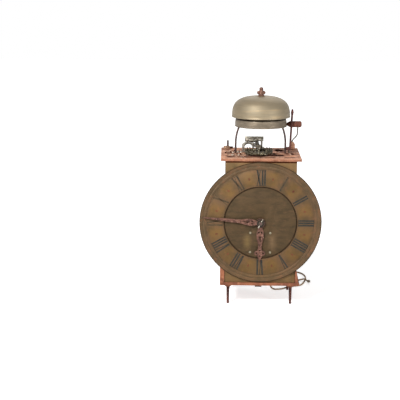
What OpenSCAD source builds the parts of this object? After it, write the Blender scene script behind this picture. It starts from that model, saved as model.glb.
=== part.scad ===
// Lantern clock: a posted iron cage with a brass front, a large round brass dial,
// verge escapement with a short pendulum, two trains of wheels and two bells.
// Millimetres. X to the right, Y from the dial to the back, Z up, feet on Z = 0.

/* [Cage] */
// Width of the base and top plates
plate_w = 138; // [134:1:150]
// Depth of the base and top plates
plate_d = 136; // [134:1:150]
// Thickness of the base plate
base_t = 5; // [4:0.5:7]
// Thickness of the top plate
top_t = 3.8; // [3:0.2:5]
// Clear height between the two plates
cage_h = 213.4; // [210:0.2:230]
// Height of the base plate's underside above the floor
foot_h = 38; // [30:1:60]
// Width of a corner post across the front
post_w = 9; // [7:0.5:10]
// Depth of a corner post
post_d = 6; // [5:0.5:8]
// Distance of the post axes from the middle, left and right
post_x = 54.8; // [50:0.1:56]
// Distance of the post axes from the middle, front and back
post_y = 46; // [40:0.5:48]
// Thickness of a foot spike where it leaves its collar
foot_top_d = 5.4; // [4:0.2:7]
// Thickness of a foot spike at the floor
foot_end_d = 4.4; // [3:0.2:6]
// Diameter of the foot collars
collar_d = 20; // [14:1:24]
// Thickness of the foot collars
collar_t = 8.6; // [5:0.2:12]
// Height of the upturned side lugs above the base plate
lug_h = 28; // [10:1:40]

/* [Sheets] */
// Width of the front and back sheets
sheet_w = 122; // [121.6:0.2:124]
// Thickness of the front and back sheets
sheet_t = 1.4; // [1:0.1:2]
// How far the front and back sheets stand in from the plate edges
sheet_set = 2; // [1:0.5:3]
// Thickness of a side door
door_t = 1.2; // [1:0.1:1.6]
// Distance of the door pivots behind the middle
door_pivot_y = 51.5; // [50:0.5:52]
// Diameter of the door pivots
door_pin_d = 2.8; // [2:0.1:3.2]

/* [Dial] */
// Radius of the dial
dial_r = 105; // [95:1:110]
// Height of the hands' axis above the base plate
hand_h = 107; // [106:0.5:108]
// Inner radius of the chapter ring
ring_in_r = 63; // [55:0.5:70]
// Thickness of the chapter ring and of the dial centre
ring_t = 1.2; // [0.8:0.1:1.6]
// Gap between the front sheet and the dial centre
dial_gap = 2.1; // [1.5:0.1:3]
// Radius on which the four dial feet stand
dial_foot_r = 80; // [70:1:82]
// Depth of the engraved circles and numerals
engrave = 0.3; // [0.1:0.1:0.5]

/* [Hands] */
// Reach of the minute hand
minute_len = 100.5; // [85:0.5:102]
// Reach of the hour hand
hour_len = 68.5; // [55:0.5:72]
// Thickness of the hands
hand_t = 1.4; // [1:0.1:1.8]
// Length of the tapered hand pin
hand_pin_len = 17; // [12:0.2:22]
// Lean of the cross pin
hand_pin_lean = 27; // [0:1:40]
// Minute hand angle at rest, clockwise from twelve
minute_rest = 275.3; // [0:0.1:360]
// Hour hand angle at rest, clockwise from twelve
hour_rest = 180.6; // [0:0.1:360]

/* [Wheels] */
// Teeth of each great wheel
great_teeth = 56; // [56]
// Teeth of the second wheel and of the hoop wheel
second_teeth = 48; // [48]
// Teeth of the contrate wheel
contrate_teeth = 36; // [36]
// Teeth of the crown wheel
crown_teeth = 23; // [19:2:27]
// Teeth of the warning wheel
warning_teeth = 40; // [40]
// Teeth of the count wheel
count_teeth = 48; // [48]
// Leaves of the train pinions
leaves = 8; // [8]
// Module of the great wheels
great_m = 1.25; // [1.2:0.01:1.3]
// Module of the second and hoop wheels
second_m = 1; // [0.98:0.01:1.02]
// Module of the warning wheel
warning_m = 0.9; // [0.86:0.01:0.94]
// Module of the count wheel
count_m = 1.1; // [1.05:0.01:1.12]
// Height of the great arbors above the base plate
great_h = 65; // [64:0.5:66]
// Radius of the contrate wheel at its teeth
contrate_r = 22; // [21:0.1:23]
// Radius of the crown wheel
crown_r = 24.5; // [22:0.5:26]
// Height of the crown wheel's teeth
crown_tooth_h = 4; // [3:0.2:5]
// Radius of the rope pulleys over their cheeks
pulley_r = 22; // [18:0.5:23]
// Thickness of the brass wheels
wheel_t = 2.4; // [1.6:0.1:3]
// Diameter of the arbors
arbor_d = 4; // [3:0.1:4.6]
// Diameter of the pivots
pivot_d = 2.4; // [1.6:0.1:3]

/* [Movement bars] */
// Width of the movement bars
bar_w = 32; // [30:0.5:34]
// Thickness of the movement bars
bar_t = 3.5; // [3:0.1:4]
// Distance of the front and back bars from the middle bar
bar_y = 55.5; // [55:0.1:56]

/* [Escapement] */
// Offset of the escapement to the left of the middle
escape_x = 3.5; // [3:0.1:4]
// Distance of the crown arbor in front of the middle
crown_y = 20; // [19.5:0.1:20.5]
// Height of the verge above the top plate
verge_h = 16.6; // [16.4:0.1:17]
// Diameter of the verge
verge_d = 2.6; // [2.2:0.1:2.8]
// Length of a pallet from the verge's axis
pallet_len = 4.9; // [4:0.1:5]
// Distance from the verge to the middle of the bob
pendulum_len = 170; // [140:1:190]
// Diameter of the bob
bob_d = 26; // [20:1:32]
// Thickness of the bob
bob_t = 8.4; // [5:0.2:8.6]
// Diameter of the pendulum rod
rod_d = 2.2; // [1.6:0.1:3]

/* [Bells] */
// Radius of the upper bell
upper_bell_r = 51; // [46:0.5:52]
// Height of the upper bell
upper_bell_h = 36.6; // [30:0.2:40]
// Height of the upper bell's rim above the top plate
upper_rim_h = 64.6; // [60:0.2:70]
// Radius of the lower bell
lower_bell_r = 45.5; // [40:0.5:46]
// Height of the lower bell
lower_bell_h = 31; // [28:0.2:34]
// Height of the lower bell's rim above the top plate
lower_rim_h = 48.2; // [46:0.2:52]
// Wall of the bells
bell_t = 2; // [1.4:0.1:2.6]
// Diameter of the bell stand's rod
stand_d = 3.4; // [3:0.1:4.4]
// Half of the span of the bell stand
stand_x = 43.6; // [40:0.1:45]
// Height of the straight foot of the bell stand
stand_leg_h = 18; // [14:0.5:22]
// Diameter of the threaded stud that carries the bells
stud_d = 4; // [3:0.1:5]
// Height of the bell nut
nut_h = 15; // [12:0.5:18]

/* [Hammers] */
// Distance of the hammer arbor to the right of the middle
hammer_x = 58.7; // [58:0.1:59]
// Distance of the hammer arbor behind the middle
hammer_y = 57; // [56:0.1:58]
// Diameter of the hammer arbor
hammer_arbor_d = 6; // [5:0.1:6.4]
// Side of the square head on the hammer arbor
hammer_block = 10; // [8:0.2:11]
// Diameter of the hammer head
hammer_d = 11; // [9:0.2:12]
// Length of the hammer head
hammer_len = 26.6; // [20:0.2:30]
// Diameter of the hammer stem
hammer_stem_d = 2.4; // [1.6:0.1:3]
// Distance of the half-hour hammer's pivot to the right of the middle
half_x = 50.4; // [50:0.1:51]
// Distance of the half-hour hammer's rod to the right of its pivot
half_side = 1.2; // [0.5:0.1:1.5]
// Height of the half-hour hammer's pivot above the top plate
half_h = 8.7; // [8:0.1:10]
// Length of the half-hour hammer
half_len = 70; // [60:0.5:74]
// Diameter of the half-hour hammer's rod
half_d = 3.7; // [3:0.1:4]
// Lean of the half-hour hammer to the right
half_lean = 2.6; // [2.4:0.1:4]

/* [Cord] */
// Diameter of the pull cord
cord_d = 3; // [2:0.1:4]
// Turns in each of the coil's two layers
coil_turns = 4; // [2:1:5]
// Outer radius of the coil at the middle of the cord
coil_r = 23.4; // [22:0.2:30]
// Distance between the coil's neighbouring turns
coil_pitch = 3.6; // [3.5:0.1:4.5]

/* [Hidden] */

$fn = 64;
seat = 0.1;            // clearance of a part that is fixed in its seat
run = 0.06;            // radial clearance of a shaft that turns in a hole
free = 0.5;            // clearance between parts that pass each other

brass = "#8c734b";
old_brass = "#7d694b";
bell_brass = "#968764";
red_iron = "#af7864";
dark_iron = "#4b3c3c";
steel = "#82817a";
rose_iron = "#91695a";

// Levels
base_z = foot_h;
cage_z = base_z + base_t;
roof_z = cage_z + cage_h;
top_z = roof_z + top_t;
hand_z = cage_z + hand_h;
great_z = cage_z + great_h;

// Front to back
front_y = -(plate_d / 2 - sheet_set);
front_in_y = front_y + sheet_t;
back_out_y = plate_d / 2 - sheet_set;
back_in_y = back_out_y - sheet_t;
centre_back_y = front_y - dial_gap;
centre_front_y = centre_back_y - ring_t;
ring_front_y = centre_front_y - ring_t;
front_bar_y = -bar_y;
bar_front_y = front_bar_y - bar_t / 2;
bar_x = -2;

// Wheel work: tooth shape as shares of the module and of the pitch
wheel_tooth = [0.95, 1.25, 0.42, 0.16, 0.50];
leaf_tooth = [0.55, 1.35, 0.34, 0.20, 0.38];
second_dx = -12;
great_to_second = (great_teeth + leaves) * great_m / 2;
second_z = great_z + sqrt(pow(great_to_second, 2) - pow(second_dx, 2));
second_to_contrate = (second_teeth + leaves) * second_m / 2;
contrate_z = second_z + sqrt(pow(second_to_contrate, 2) - pow(second_dx + escape_x, 2));
contrate_m = 2 * contrate_r / contrate_teeth;
crown_pinion_r = leaves * contrate_m / 2;
contrate_top_z = contrate_z + contrate_r;
warning_x = -2;
warning_z = second_z + sqrt(pow(second_to_contrate, 2) - pow(second_dx - warning_x, 2));
warning_to_fly = (warning_teeth + leaves) * warning_m / 2;
fly_x = -8;
fly_z = warning_z + sqrt(pow(warning_to_fly, 2) - pow(fly_x - warning_x, 2));
count_z = great_z - (count_teeth + leaves) * count_m / 2;

// Motion work
drive_teeth = 36;
drive_m = (hand_z - great_z) / drive_teeth;
cannon_leaves = 12;
motion_teeth = 36;
motion_m = 1.1;
motion_gap = (cannon_leaves + motion_teeth) * motion_m / 2;
motion_leaves = 10;
hour_teeth = 40;
hour_m = 2 * motion_gap / (motion_leaves + hour_teeth);
motion_angle = 22;
motion_x = motion_gap * sin(motion_angle);
motion_z = hand_z + motion_gap * cos(motion_angle);
motion_t = 1.8;
motion_step = 2.2;
plane_a = bar_front_y - 0.6;
plane_b = plane_a - motion_step;
plane_c = plane_b - motion_step;
stub_r = 2.5;
cannon_r = 4.2;
hour_pipe_r = 5.5;
hour_hand_y = ring_front_y - 1;
minute_hand_y = hour_hand_y - hand_t - 1.1;
stub_end_y = minute_hand_y - hand_t - 3.2;
stud_r = 1.7;

// Planes of the trains
great_plane = -43.5;
pulley_plane = -25;
second_plane = -11;
strike_plane = 9;
lift_pin_r = great_teeth * great_m / 2 - 1.25 * great_m - 1.4;
lift_pins = 13;
strike_pulley_plane = 20;
hoop_plane = 40;
warning_plane = 48;
pulley_w = 15;
count_plane = back_out_y + 0.8;
count_t = 1.5;

// Escapement
crown_bottom_z = top_z + 3.3;
crown_band_h = 4.5;
crown_tip_z = crown_bottom_z + crown_band_h + crown_tooth_h;
verge_z = top_z + verge_h;
cock_y = -51;
rear_cock_y = 59.5;
cock_t = 2.6;
potence_z = contrate_z + contrate_r - 11;
potence_t = 3.4;
contrate_root_y = -crown_y - crown_pinion_r - 1.25 * contrate_m;
contrate_back_y = contrate_root_y - 4;
pendulum_y = -stub_end_y - bob_t / 2;
bob_z = verge_z - pendulum_len;
bridge_y = 12;
bridge_d = 6;
bridge_t = 2.2;

// Bells and their stand
stand_top_z = top_z + lower_rim_h + lower_bell_h - bell_t - stand_d / 2 - 0.6;
stand_leg_z = top_z + stand_leg_h;
stand_rise = stand_top_z - stand_leg_z;
side_arc_r = 75;
side_arc_x = side_arc_r - stand_x;
crown_arc_r = (pow(side_arc_r, 2) - pow(side_arc_x, 2) - pow(stand_rise, 2))
    / (2 * (side_arc_r - stand_rise));
side_angle = atan2(stand_top_z - crown_arc_r - stand_leg_z, side_arc_x);
lower_crown_z = top_z + lower_rim_h + lower_bell_h;
upper_crown_z = top_z + upper_rim_h + upper_bell_h;

// Hammers
head_z = top_z + 51.1;
head_y = 7.5;
head_nose_x = sqrt(pow(lower_bell_r, 2) - pow(head_y, 2)) + 0.4;
block_h = 8.8;
point_h = 4.4;
half_y = -2;
half_post_y = 8;
half_z = top_z + half_h;

// Detents
detent_x = -38;
detent_z = cage_z + 159;
cord_x = 22;
cord_y = 46;

// The pull cord's route: from the detent's arm through the base plate and over the floor
cord_r = cord_d / 2;
coil_at = [-6, 126];
coil_rings = 24;
coil_step = cord_d + 0.5;
lead_route = [[cord_x, cord_y, 212], [cord_x, cord_y, 180], [cord_x, cord_y, 140],
    [cord_x, cord_y, 100], [cord_x, cord_y, 60], [cord_x, cord_y, 30], [22.3, 46, 14],
    [24.5, 45.4, 5.5], [30, 44, 1.6], [38, 43.5, 1.5], [46, 47, 1.5], [54, 56, 1.5],
    [64, 65, 1.5], [74, 69, 1.5], [82, 76, 1.5], [87, 90, 1.5], [91, 108, 1.5], [93.5, 126, 1.5],
    [92.6, 144, 1.5], [87, 161, 1.5], [77, 170.5, 1.5], [62, 174, 1.5], [45, 170, 1.5],
    [34, 158, 1.5], [30.5, 142, 1.5], [29, 126, 1.5], [22, 111, 1.5]];
tail_route = [[-28.5, 142, 2.4], [-22, 155, 1.5], [-6, 162, 1.5], [12, 162, 1.5],
    [25, 158, 3.2], [33, 154.5, 4.9], [41, 150, 3.2], [50, 143, 1.5], [62, 129, 1.5],
    [71, 116, 1.5], [78, 109.5, 1.5], [84, 107.5, 3.2], [89.8, 104.8, 4.9], [94.2, 99, 3.6]];
tassel_end = [97.5, 86, 4.2];

// Teeth as a closed outline: root, pitch line and rounded tip on both flanks
function tooth_outline(teeth, m, shape, turn = 0) = [
    for (i = [0:teeth - 1])
        for (p = [[-shape[1], -shape[4]], [0, -shape[2]],
                [shape[0] * 0.6, -(shape[2] * 0.55 + shape[3] * 0.45)], [shape[0], -shape[3]],
                [shape[0], shape[3]], [shape[0] * 0.6, shape[2] * 0.55 + shape[3] * 0.45],
                [0, shape[2]], [-shape[1], shape[4]]])
            let (r = teeth * m / 2 + p[0] * m, a = turn + 360 / teeth * (i + p[1] / 2))
                [r * cos(a), r * sin(a)]
];

// A piece that stands across the cage: drawn flat, then stood up with its thickness
// running from the plane y towards the front
module stand_up(x, y, z, t) {
    translate([x, y, z]) rotate([90, 0, 0]) linear_extrude(t) children();
}

// A round bar along Y, from y0 to y1
module y_rod(x, z, y0, y1, r, r2 = undef) {
    translate([x, y1, z]) rotate([90, 0, 0])
        cylinder(h = y1 - y0, r1 = is_undef(r2) ? r : r2, r2 = r);
}

// A pinion: leaves along Y. turn is the angle of its first leaf
module pinion(x, z, y0, y1, m, count, turn) {
    stand_up(x, y1, z, y1 - y0) polygon(tooth_outline(count, m, leaf_tooth, turn));
}

// A crossed-out brass wheel with its rim, arms and hub. turn is the angle of its first tooth
module spoked_wheel(x, y, z, t, teeth, m, turn, hub_r, bore_r, arms = 4) {
    rim_r = teeth * m / 2 - 1.25 * m - 2.6;
    stand_up(x, y, z, t) difference() {
        union() {
            difference() {
                polygon(tooth_outline(teeth, m, wheel_tooth, turn));
                circle(rim_r);
            }
            circle(hub_r);
            for (i = [0:arms - 1]) rotate(45 + 360 / arms * i)
                translate([0, -1.6]) square([rim_r + 0.8, 3.2]);
        }
        circle(bore_r);
    }
}

// An arbor along Y with a pivot at each end that runs in the bars
module arbor(x, z, y0, y1, d = arbor_d) {
    y_rod(x, z, y0 + 0.4, y1 - 0.4, d / 2);
    y_rod(x, z, y0 == bar_inner ? 0.1 : y0 - bar_t, y1 == -bar_inner ? -0.1 : y1 + bar_t,
        pivot_d / 2);
}

// Points of a smooth line through the given points, steps pieces to each span
function curve_point(a, b, c, d, t) =
    0.5 * ((2 * b) + (c - a) * t + (2 * a - 5 * b + 4 * c - d) * t * t
        + (3 * b - a - 3 * c + d) * t * t * t);
function smooth_line(p, steps) = [
    for (i = [0:len(p) - 2])
        for (k = [0:steps - 1])
            curve_point(p[max(i - 1, 0)], p[i], p[i + 1], p[min(i + 2, len(p) - 1)], k / steps),
    p[len(p) - 1]
];
function unit(v) = v / norm(v);
function heading(p, i) = unit(p[min(i + 1, len(p) - 1)] - p[max(i - 1, 0)]);
function off_axis(u, t) = unit(u - (u * t) * t);
function line_length(p) = len(p) < 2 ? 0 : [for (i = [1:len(p) - 1]) norm(p[i] - p[i - 1])]
    * [for (i = [1:len(p) - 1]) 1];

// A tube along the points p. radius gives one radius for each point
module tube(p, radius, sides, side_axis = [0, 1, 0], heads = []) {
    last = len(p) - 1;
    ring_dir = [for (i = 0, u = off_axis(side_axis, heading(p, 0)); i <= last;
        i = i + 1, u = off_axis(u, heading(p, min(i, last)))) u];
    ring = [for (i = [0:last]) let (
            t = i == 0 && len(heads) > 0 ? heads[0] : i == last && len(heads) > 1 ? heads[1]
                : heading(p, i),
            u = off_axis(ring_dir[i], t), v = cross(t, u))
        for (k = [0:sides - 1]) p[i] + radius[i] * (cos(360 * k / sides) * u
            + sin(360 * k / sides) * v)];
    walls = [for (i = [0:last - 1]) for (k = [0:sides - 1])
        let (a = i * sides + k, b = i * sides + (k + 1) % sides)
            for (f = [[a, a + sides, b], [b, a + sides, b + sides]]) f];
    ends = [for (k = [1:sides - 2])
        for (f = [[0, k, k + 1], [last * sides, last * sides + k + 1, last * sides + k]]) f];
    polyhedron(points = ring, faces = concat(walls, ends), convexity = 12);
}

function same_radius(p, r) = [for (q = p) r];

// Cage

module post_hole(z, t) {
    for (sx = [-1, 1], sy = [-1, 1])
        translate([sx * post_x - tenon_w / 2 - seat, sy * post_y - tenon_d / 2 - seat, z - 1])
            cube([tenon_w + 2 * seat, tenon_d + 2 * seat, t + 2]);
}

tenon_w = post_w - 2;
tenon_d = post_d - 2;
bar_tenon_w = 12;
tenon_below = 5;
wedge_w = 3;
wedge_t = 2.4;
lug_w = 7.6;
lug_d = 12;
rope_hole_x = 18;
upright_pivot_d = 3.4;
door_pivot_x = sheet_w / 2 - door_t / 2 - 0.1;
dial_foot_d = 2.6;
rivet_d = 3.2;

module plate_outline(w, d) {
    translate([-w / 2, -d / 2]) square([w, d]);
}

// Slots that take the tenons of the three movement bars
module bar_slots(z, t) {
    for (y = [-bar_y, 0, bar_y])
        translate([bar_x - bar_tenon_w / 2 - seat, y - bar_t / 2 - seat, z - 1])
            cube([bar_tenon_w + 2 * seat, bar_t + 2 * seat, t + 2]);
}

// Round holes in which the hammer arbor and the door pivots turn
module upright_holes(z, t) {
    translate([hammer_x, hammer_y, z - 1]) cylinder(h = t + 2, d = upright_pivot_d + 2 * run);
    for (sx = [-1, 1]) translate([sx * door_pivot_x, door_pivot_y, z - 1])
        cylinder(h = t + 2, d = door_pin_d + 2 * run);
}

module side_lug(sx, inset, lean) {
    foot_x = plate_w / 2 - lug_w;
    outer = plate_w / 2 - inset;
    tip = min(2.4, (outer - lean - foot_x) / 3);
    translate([0, -plate_d / 2 + lug_d, 0]) rotate([90, 0, 0]) linear_extrude(lug_d)
        polygon([
            [sx * foot_x, base_z + base_t / 2], [sx * outer, base_z + base_t / 2],
            [sx * (outer - lean), cage_z + lug_h - 3], [sx * (outer - lean - tip), cage_z + lug_h],
            [sx * (foot_x + tip * 2 / 3), cage_z + lug_h], [sx * foot_x, cage_z + lug_h - 3]]);
}

module base_plate() {
    color(red_iron) difference() {
        union() {
            translate([0, 0, base_z]) linear_extrude(base_t) plate_outline(plate_w, plate_d);
            side_lug(-1, 0, 0);
            side_lug(1, 1.6, 3.8);
        }
        post_hole(base_z, base_t);
        bar_slots(base_z, base_t);
        upright_holes(base_z, base_t);
        for (sx = [-1, 1]) {
            translate([sx * rope_hole_x, (great_plane + pulley_plane) / 2, base_z - 1])
                cylinder(h = base_t + 2, r = 7);
            translate([sx * rope_hole_x, strike_pulley_plane + pulley_w / 2, base_z - 1])
                cylinder(h = base_t + 2, r = 7);
        }
        translate([cord_x, cord_y, base_z - 1])
            cylinder(h = base_t + 2, d = cord_d + 0.8);
    }
}

// A slot with round ends, cut through the top plate
module slot_cut(x0, x1, y, w) {
    translate([0, 0, roof_z - 1]) linear_extrude(top_t + 2) {
        translate([x0, y - w / 2]) square([x1 - x0, w]);
        translate([x0, y]) circle(d = w);
        translate([x1, y]) circle(d = w);
    }
}

module top_plate() {
    stud_holes = [[-53, 8], [-41, -6], [-34, -12], [-52, 24]];
    color(red_iron) difference() {
        translate([0, 0, roof_z]) linear_extrude(top_t) plate_outline(plate_w, plate_d);
        post_hole(roof_z, top_t);
        bar_slots(roof_z, top_t);
        upright_holes(roof_z, top_t);
        slot_cut(-10, 32, -crown_y - 0.5, 19);
        slot_cut(28, 38, 33, 5);
        slot_cut(-36, -24, -34, 5);
        for (h = stud_holes) translate([h[0], h[1], roof_z - 1]) cylinder(h = top_t + 2, d = 4);
        for (sx = [-1, 1]) translate([sx * stand_x, 0, roof_z - 1])
            cylinder(h = top_t + 2, d = stand_d + 2 * seat);
        translate([-left_pin_x, hammer_y, roof_z - 1])
            cylinder(h = top_t + 2, d = left_pin_d + 2 * seat);
    }
}

// One forged post: square bar between the plates, a tenon through each plate and a foot
module corner_post(sx, sy) {
    color(dark_iron) translate([sx * post_x, sy * post_y, 0]) {
        translate([-post_w / 2, -post_d / 2, cage_z]) cube([post_w, post_d, cage_h]);
        translate([-tenon_w / 2, -tenon_d / 2, roof_z]) cube([tenon_w, tenon_d, top_t]);
        translate([-tenon_w / 2, -tenon_d / 2, base_z]) cube([tenon_w, tenon_d, base_t]);
        translate([0, 0, base_z - collar_t]) cylinder(h = collar_t, d = tenon_d);
        cylinder(h = base_z - collar_t, d1 = foot_end_d, d2 = foot_top_d);
    }
}

module front_left_post() { corner_post(-1, -1); }
module front_right_post() { corner_post(1, -1); }
module back_left_post() { corner_post(-1, 1); }
module back_right_post() { corner_post(1, 1); }

// Domed collars that close each joint of post and base plate from below
module foot_collars() {
    edge_r = collar_d / 2;
    color(red_iron) for (sx = [-1, 1], sy = [-1, 1])
        translate([sx * post_x, sy * post_y, base_z]) rotate_extrude() difference() {
            polygon(concat([[0, 0], [edge_r, 0]], [for (a = [15:15:75])
                [edge_r * cos(a) * 0.55 + edge_r * 0.45 * (1 - a / 90), -collar_t * sin(a)]],
                [[foot_top_d * 0.7, -collar_t], [0, -collar_t]]));
            translate([-1, -collar_t - 1]) square([tenon_d / 2 + seat + 1, collar_t + 2]);
        }
}

// Sheets

module sheet(y) {
    translate([-sheet_w / 2, y, cage_z + seat]) cube([sheet_w, sheet_t, cage_h - 2 * seat]);
}

module front_plate() {
    color(old_brass) difference() {
        sheet(front_y);
        y_rod(0, hand_z, front_y - 1, front_in_y + 1, hour_pipe_r + 2.5);
        for (a = [45:90:315]) y_rod(dial_foot_r * cos(a), hand_z + dial_foot_r * sin(a),
            front_y - 1, front_in_y + 1, dial_foot_d / 2 + 0.05);
        rivet_places() y_rod(0, 0, front_y - 1, front_in_y + 1, rivet_d / 2 + 0.05);
    }
}

module back_plate() {
    color(red_iron) difference() {
        sheet(back_in_y);
        y_rod(0, great_z, back_in_y - 1, back_out_y + 1, arbor_d / 2 + 1);
        y_rod(0, count_z, back_in_y - 1, back_out_y + 1, stud_r + run);
        y_rod(detent_x, detent_z, back_in_y - 1, back_out_y + 1, arbor_d / 2 + 1);
    }
}

// A side door turns on two pins at its back edge
module side_door(sx) {
    front = -(plate_d / 2 - lug_d - 1.5);
    knob_y = front + 8;
    color(brass) {
        translate([sx * door_pivot_x - door_t / 2, front, cage_z + free])
            cube([door_t, door_pivot_y - front, cage_h - 2 * free]);
        translate([sx * door_pivot_x, door_pivot_y, base_z + free])
            cylinder(h = cage_h + base_t + top_t - free, d = door_pin_d);
        translate([sx * door_pivot_x, knob_y, hand_z]) rotate([0, sx * 90, 0]) {
            cylinder(h = 5, d = 2.6);
            translate([0, 0, 4.4]) sphere(d = 5);
        }
    }
}

module left_door() { side_door(-1); }
module right_door() { side_door(1); }

// Movement bars

module bar_outline(cross) {
    translate([bar_x - bar_w / 2, cage_z]) square([bar_w, cage_h]);
    difference() {
        translate([bar_x - bar_tenon_w / 2, base_z - tenon_below])
            square([bar_tenon_w, top_z - base_z + tenon_below]);
        translate([bar_x - wedge_w / 2 - seat, base_z - wedge_t])
            square([wedge_w + 2 * seat, wedge_t + seat]);
    }
    if (cross) translate([detent_x - 7, detent_z - 6]) square([30, 12]);
}

module pivot_hole(x, z, y, d = pivot_d) {
    y_rod(x, z, y - bar_t, y + bar_t, d / 2 + run);
}

module front_bar() {
    y = front_bar_y;
    color(dark_iron) {
        difference() {
            stand_up(0, y + bar_t / 2, 0, bar_t) bar_outline(true);
            pivot_hole(0, great_z, y, arbor_d);
            pivot_hole(second_dx, second_z, y);
            pivot_hole(-escape_x, contrate_z, y);
            pivot_hole(detent_x, detent_z, y);
        }
        difference() {
            y_rod(0, hand_z, stub_end_y, y, stub_r);
            pin_shape(seat);
        }
        y_rod(motion_x, motion_z, plane_c - motion_t - 0.2, y, stud_r);
    }
}

module middle_bar() {
    arm_y = -crown_y - 3;
    arm_t = potence_t;
    color(dark_iron) difference() {
        union() {
            stand_up(0, bar_t / 2, 0, bar_t) bar_outline(false);
            translate([-escape_x - 4, arm_y, potence_z - arm_t]) cube([8, -arm_y, arm_t]);
        }
        pivot_hole(0, great_z, 0);
        pivot_hole(second_dx, second_z, 0);
        pivot_hole(-escape_x, contrate_z, 0);
        pivot_hole(warning_x, warning_z, 0);
        pivot_hole(fly_x, fly_z, 0);
        translate([-escape_x, -crown_y, potence_z - arm_t - 1])
            cylinder(h = arm_t + 2, d = pivot_d + 2 * run);
    }
}

module back_bar() {
    y = bar_y;
    color(dark_iron) difference() {
        stand_up(0, y + bar_t / 2, 0, bar_t) bar_outline(true);
        pivot_hole(0, great_z, y, arbor_d);
        pivot_hole(second_dx, second_z, y);
        pivot_hole(warning_x, warning_z, y);
        pivot_hole(fly_x, fly_z, y);
        pivot_hole(detent_x, detent_z, y, arbor_d);
    }
}

// Tapered keys driven through the bars' tenons below the base plate
module bar_wedges() {
    color(steel) for (y = [-bar_y, 0, bar_y])
        translate([bar_x - wedge_w / 2, y, base_z]) rotate([90, 0, 90]) linear_extrude(wedge_w)
            polygon([[-6, 0], [6, 0], [6, -wedge_t], [-6, -wedge_t + 0.9]]);
}

// Dial

module ring_shape(outer, inner) {
    difference() {
        circle(outer, $fn = 128);
        circle(inner, $fn = 128);
    }
}

module chapter_ring() {
    color(brass) {
        difference() {
            stand_up(0, centre_front_y, hand_z, ring_t) ring_shape(dial_r, ring_in_r);
            for (r = [dial_r - 12])
                stand_up(0, ring_front_y + engrave, hand_z, 1) ring_shape(r + 0.35, r - 0.35);
        }
        for (a = [45:90:315]) y_rod(dial_foot_r * cos(a), hand_z + dial_foot_r * sin(a),
            centre_front_y - 0.1, front_in_y + 0.8, dial_foot_d / 2);
    }
}

module rivet_places() {
    for (x = [-17.2, 17.2], z = [-17.8, -51.8]) translate([x, 0, hand_z + z]) children();
}

module dial_centre() {
    color(old_brass) difference() {
        stand_up(0, centre_back_y, hand_z, ring_t) circle(ring_in_r + 2, $fn = 128);
        y_rod(0, hand_z, centre_front_y - 1, centre_back_y + 1, hour_pipe_r + 1);
        rivet_places() y_rod(0, 0, centre_front_y - 1, centre_back_y + 1, rivet_d / 2 + 0.05);
    }
}

// Shouldered rivets hold the dial centre off the front sheet
module dial_rivets() {
    color(steel) rivet_places() {
        y_rod(0, 0, centre_front_y - 0.8, centre_front_y, rivet_d / 2 + 0.8);
        y_rod(0, 0, centre_front_y - 0.1, front_in_y, rivet_d / 2);
        y_rod(0, 0, centre_back_y, front_y, rivet_d / 2 + 1);
    }
}

// Hands, drawn pointing at twelve

// A leaf with two small eyes near the hub and a drop towards the point
function leaf_half(t, w, end_w) = end_w / 2 + (w - end_w) / 2 * pow(sin(180 * pow(t, 0.85)), 1.3);

module pierced_leaf(near, far, w, end_w) {
    run_l = far - near;
    difference() {
        polygon(concat(
            [for (t = [0:0.0625:1]) [leaf_half(t, w, end_w), near + t * run_l]],
            [for (t = [1:-0.0625:0]) [-leaf_half(t, w, end_w), near + t * run_l]]));
        for (sx = [-1, 1]) translate([sx * 2.3, near + run_l * 0.3]) scale([1, 1.6])
            circle(1.15, $fn = 24);
        translate([0, near + run_l * 0.55]) circle(1.4, $fn = 24);
        polygon([[-1.3, near + run_l * 0.57], [1.3, near + run_l * 0.57],
            [0.3, near + run_l * 0.86], [-0.3, near + run_l * 0.86]]);
    }
}

module hand_hub(outer, bore) {
    difference() {
        children();
        circle(bore);
    }
}

module minute_hand() {
    neck = minute_len * 0.615;
    color(rose_iron) stand_up(0, minute_hand_y, hand_z, hand_t) rotate(-minute_rest)
        hand_hub(cannon_r + 2.6, cannon_r - 0.8 + seat) {
            circle(cannon_r + 2.6);
            pierced_leaf(cannon_r + 1.4, minute_len * 0.35, 12, 6);
            polygon([[-3.2, 34], [3.2, 34], [2.7, neck], [0.5, minute_len], [-0.5, minute_len],
                [-2.7, neck]]);
        }
}

module hour_hand() {
    neck = hour_len * 0.625;
    rosette = hour_len * 0.775;
    color(rose_iron) stand_up(0, hour_hand_y, hand_z, hand_t) rotate(-hour_rest)
        hand_hub(hour_pipe_r + 2.8, hour_pipe_r - 0.7 + seat) {
            union() {
                circle(hour_pipe_r + 2.8);
                pierced_leaf(hour_pipe_r + 1.6, hour_len * 0.565, 12.6, 6.2);
                translate([-3.1, hour_len * 0.56]) square([6.2, neck - hour_len * 0.56 + 4]);
                difference() {
                    for (a = [0:90:270]) translate([0, rosette]) rotate(a)
                        translate([0, 5.3]) circle(4.1, $fn = 32);
                    for (a = [0:90:270]) translate([0, rosette]) rotate(a)
                        translate([0, 5.5]) circle(1.5, $fn = 24);
                }
                translate([0, rosette]) circle(3.6, $fn = 32);
                polygon([[-2.6, rosette + 6], [2.6, rosette + 6], [0.5, hour_len], [-0.5, hour_len]]);
            }
        }
}

// The tapered cross pin that keeps the hands on the stub
module pin_shape(gap) {
    translate([0, minute_hand_y - hand_t - 1.8, hand_z]) rotate([0, hand_pin_lean, 0])
        translate([0, 0, -hand_pin_len / 2])
            cylinder(h = hand_pin_len, d1 = 2.2 + 2 * gap, d2 = 1.5 + 2 * gap, $fn = 32);
}

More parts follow.
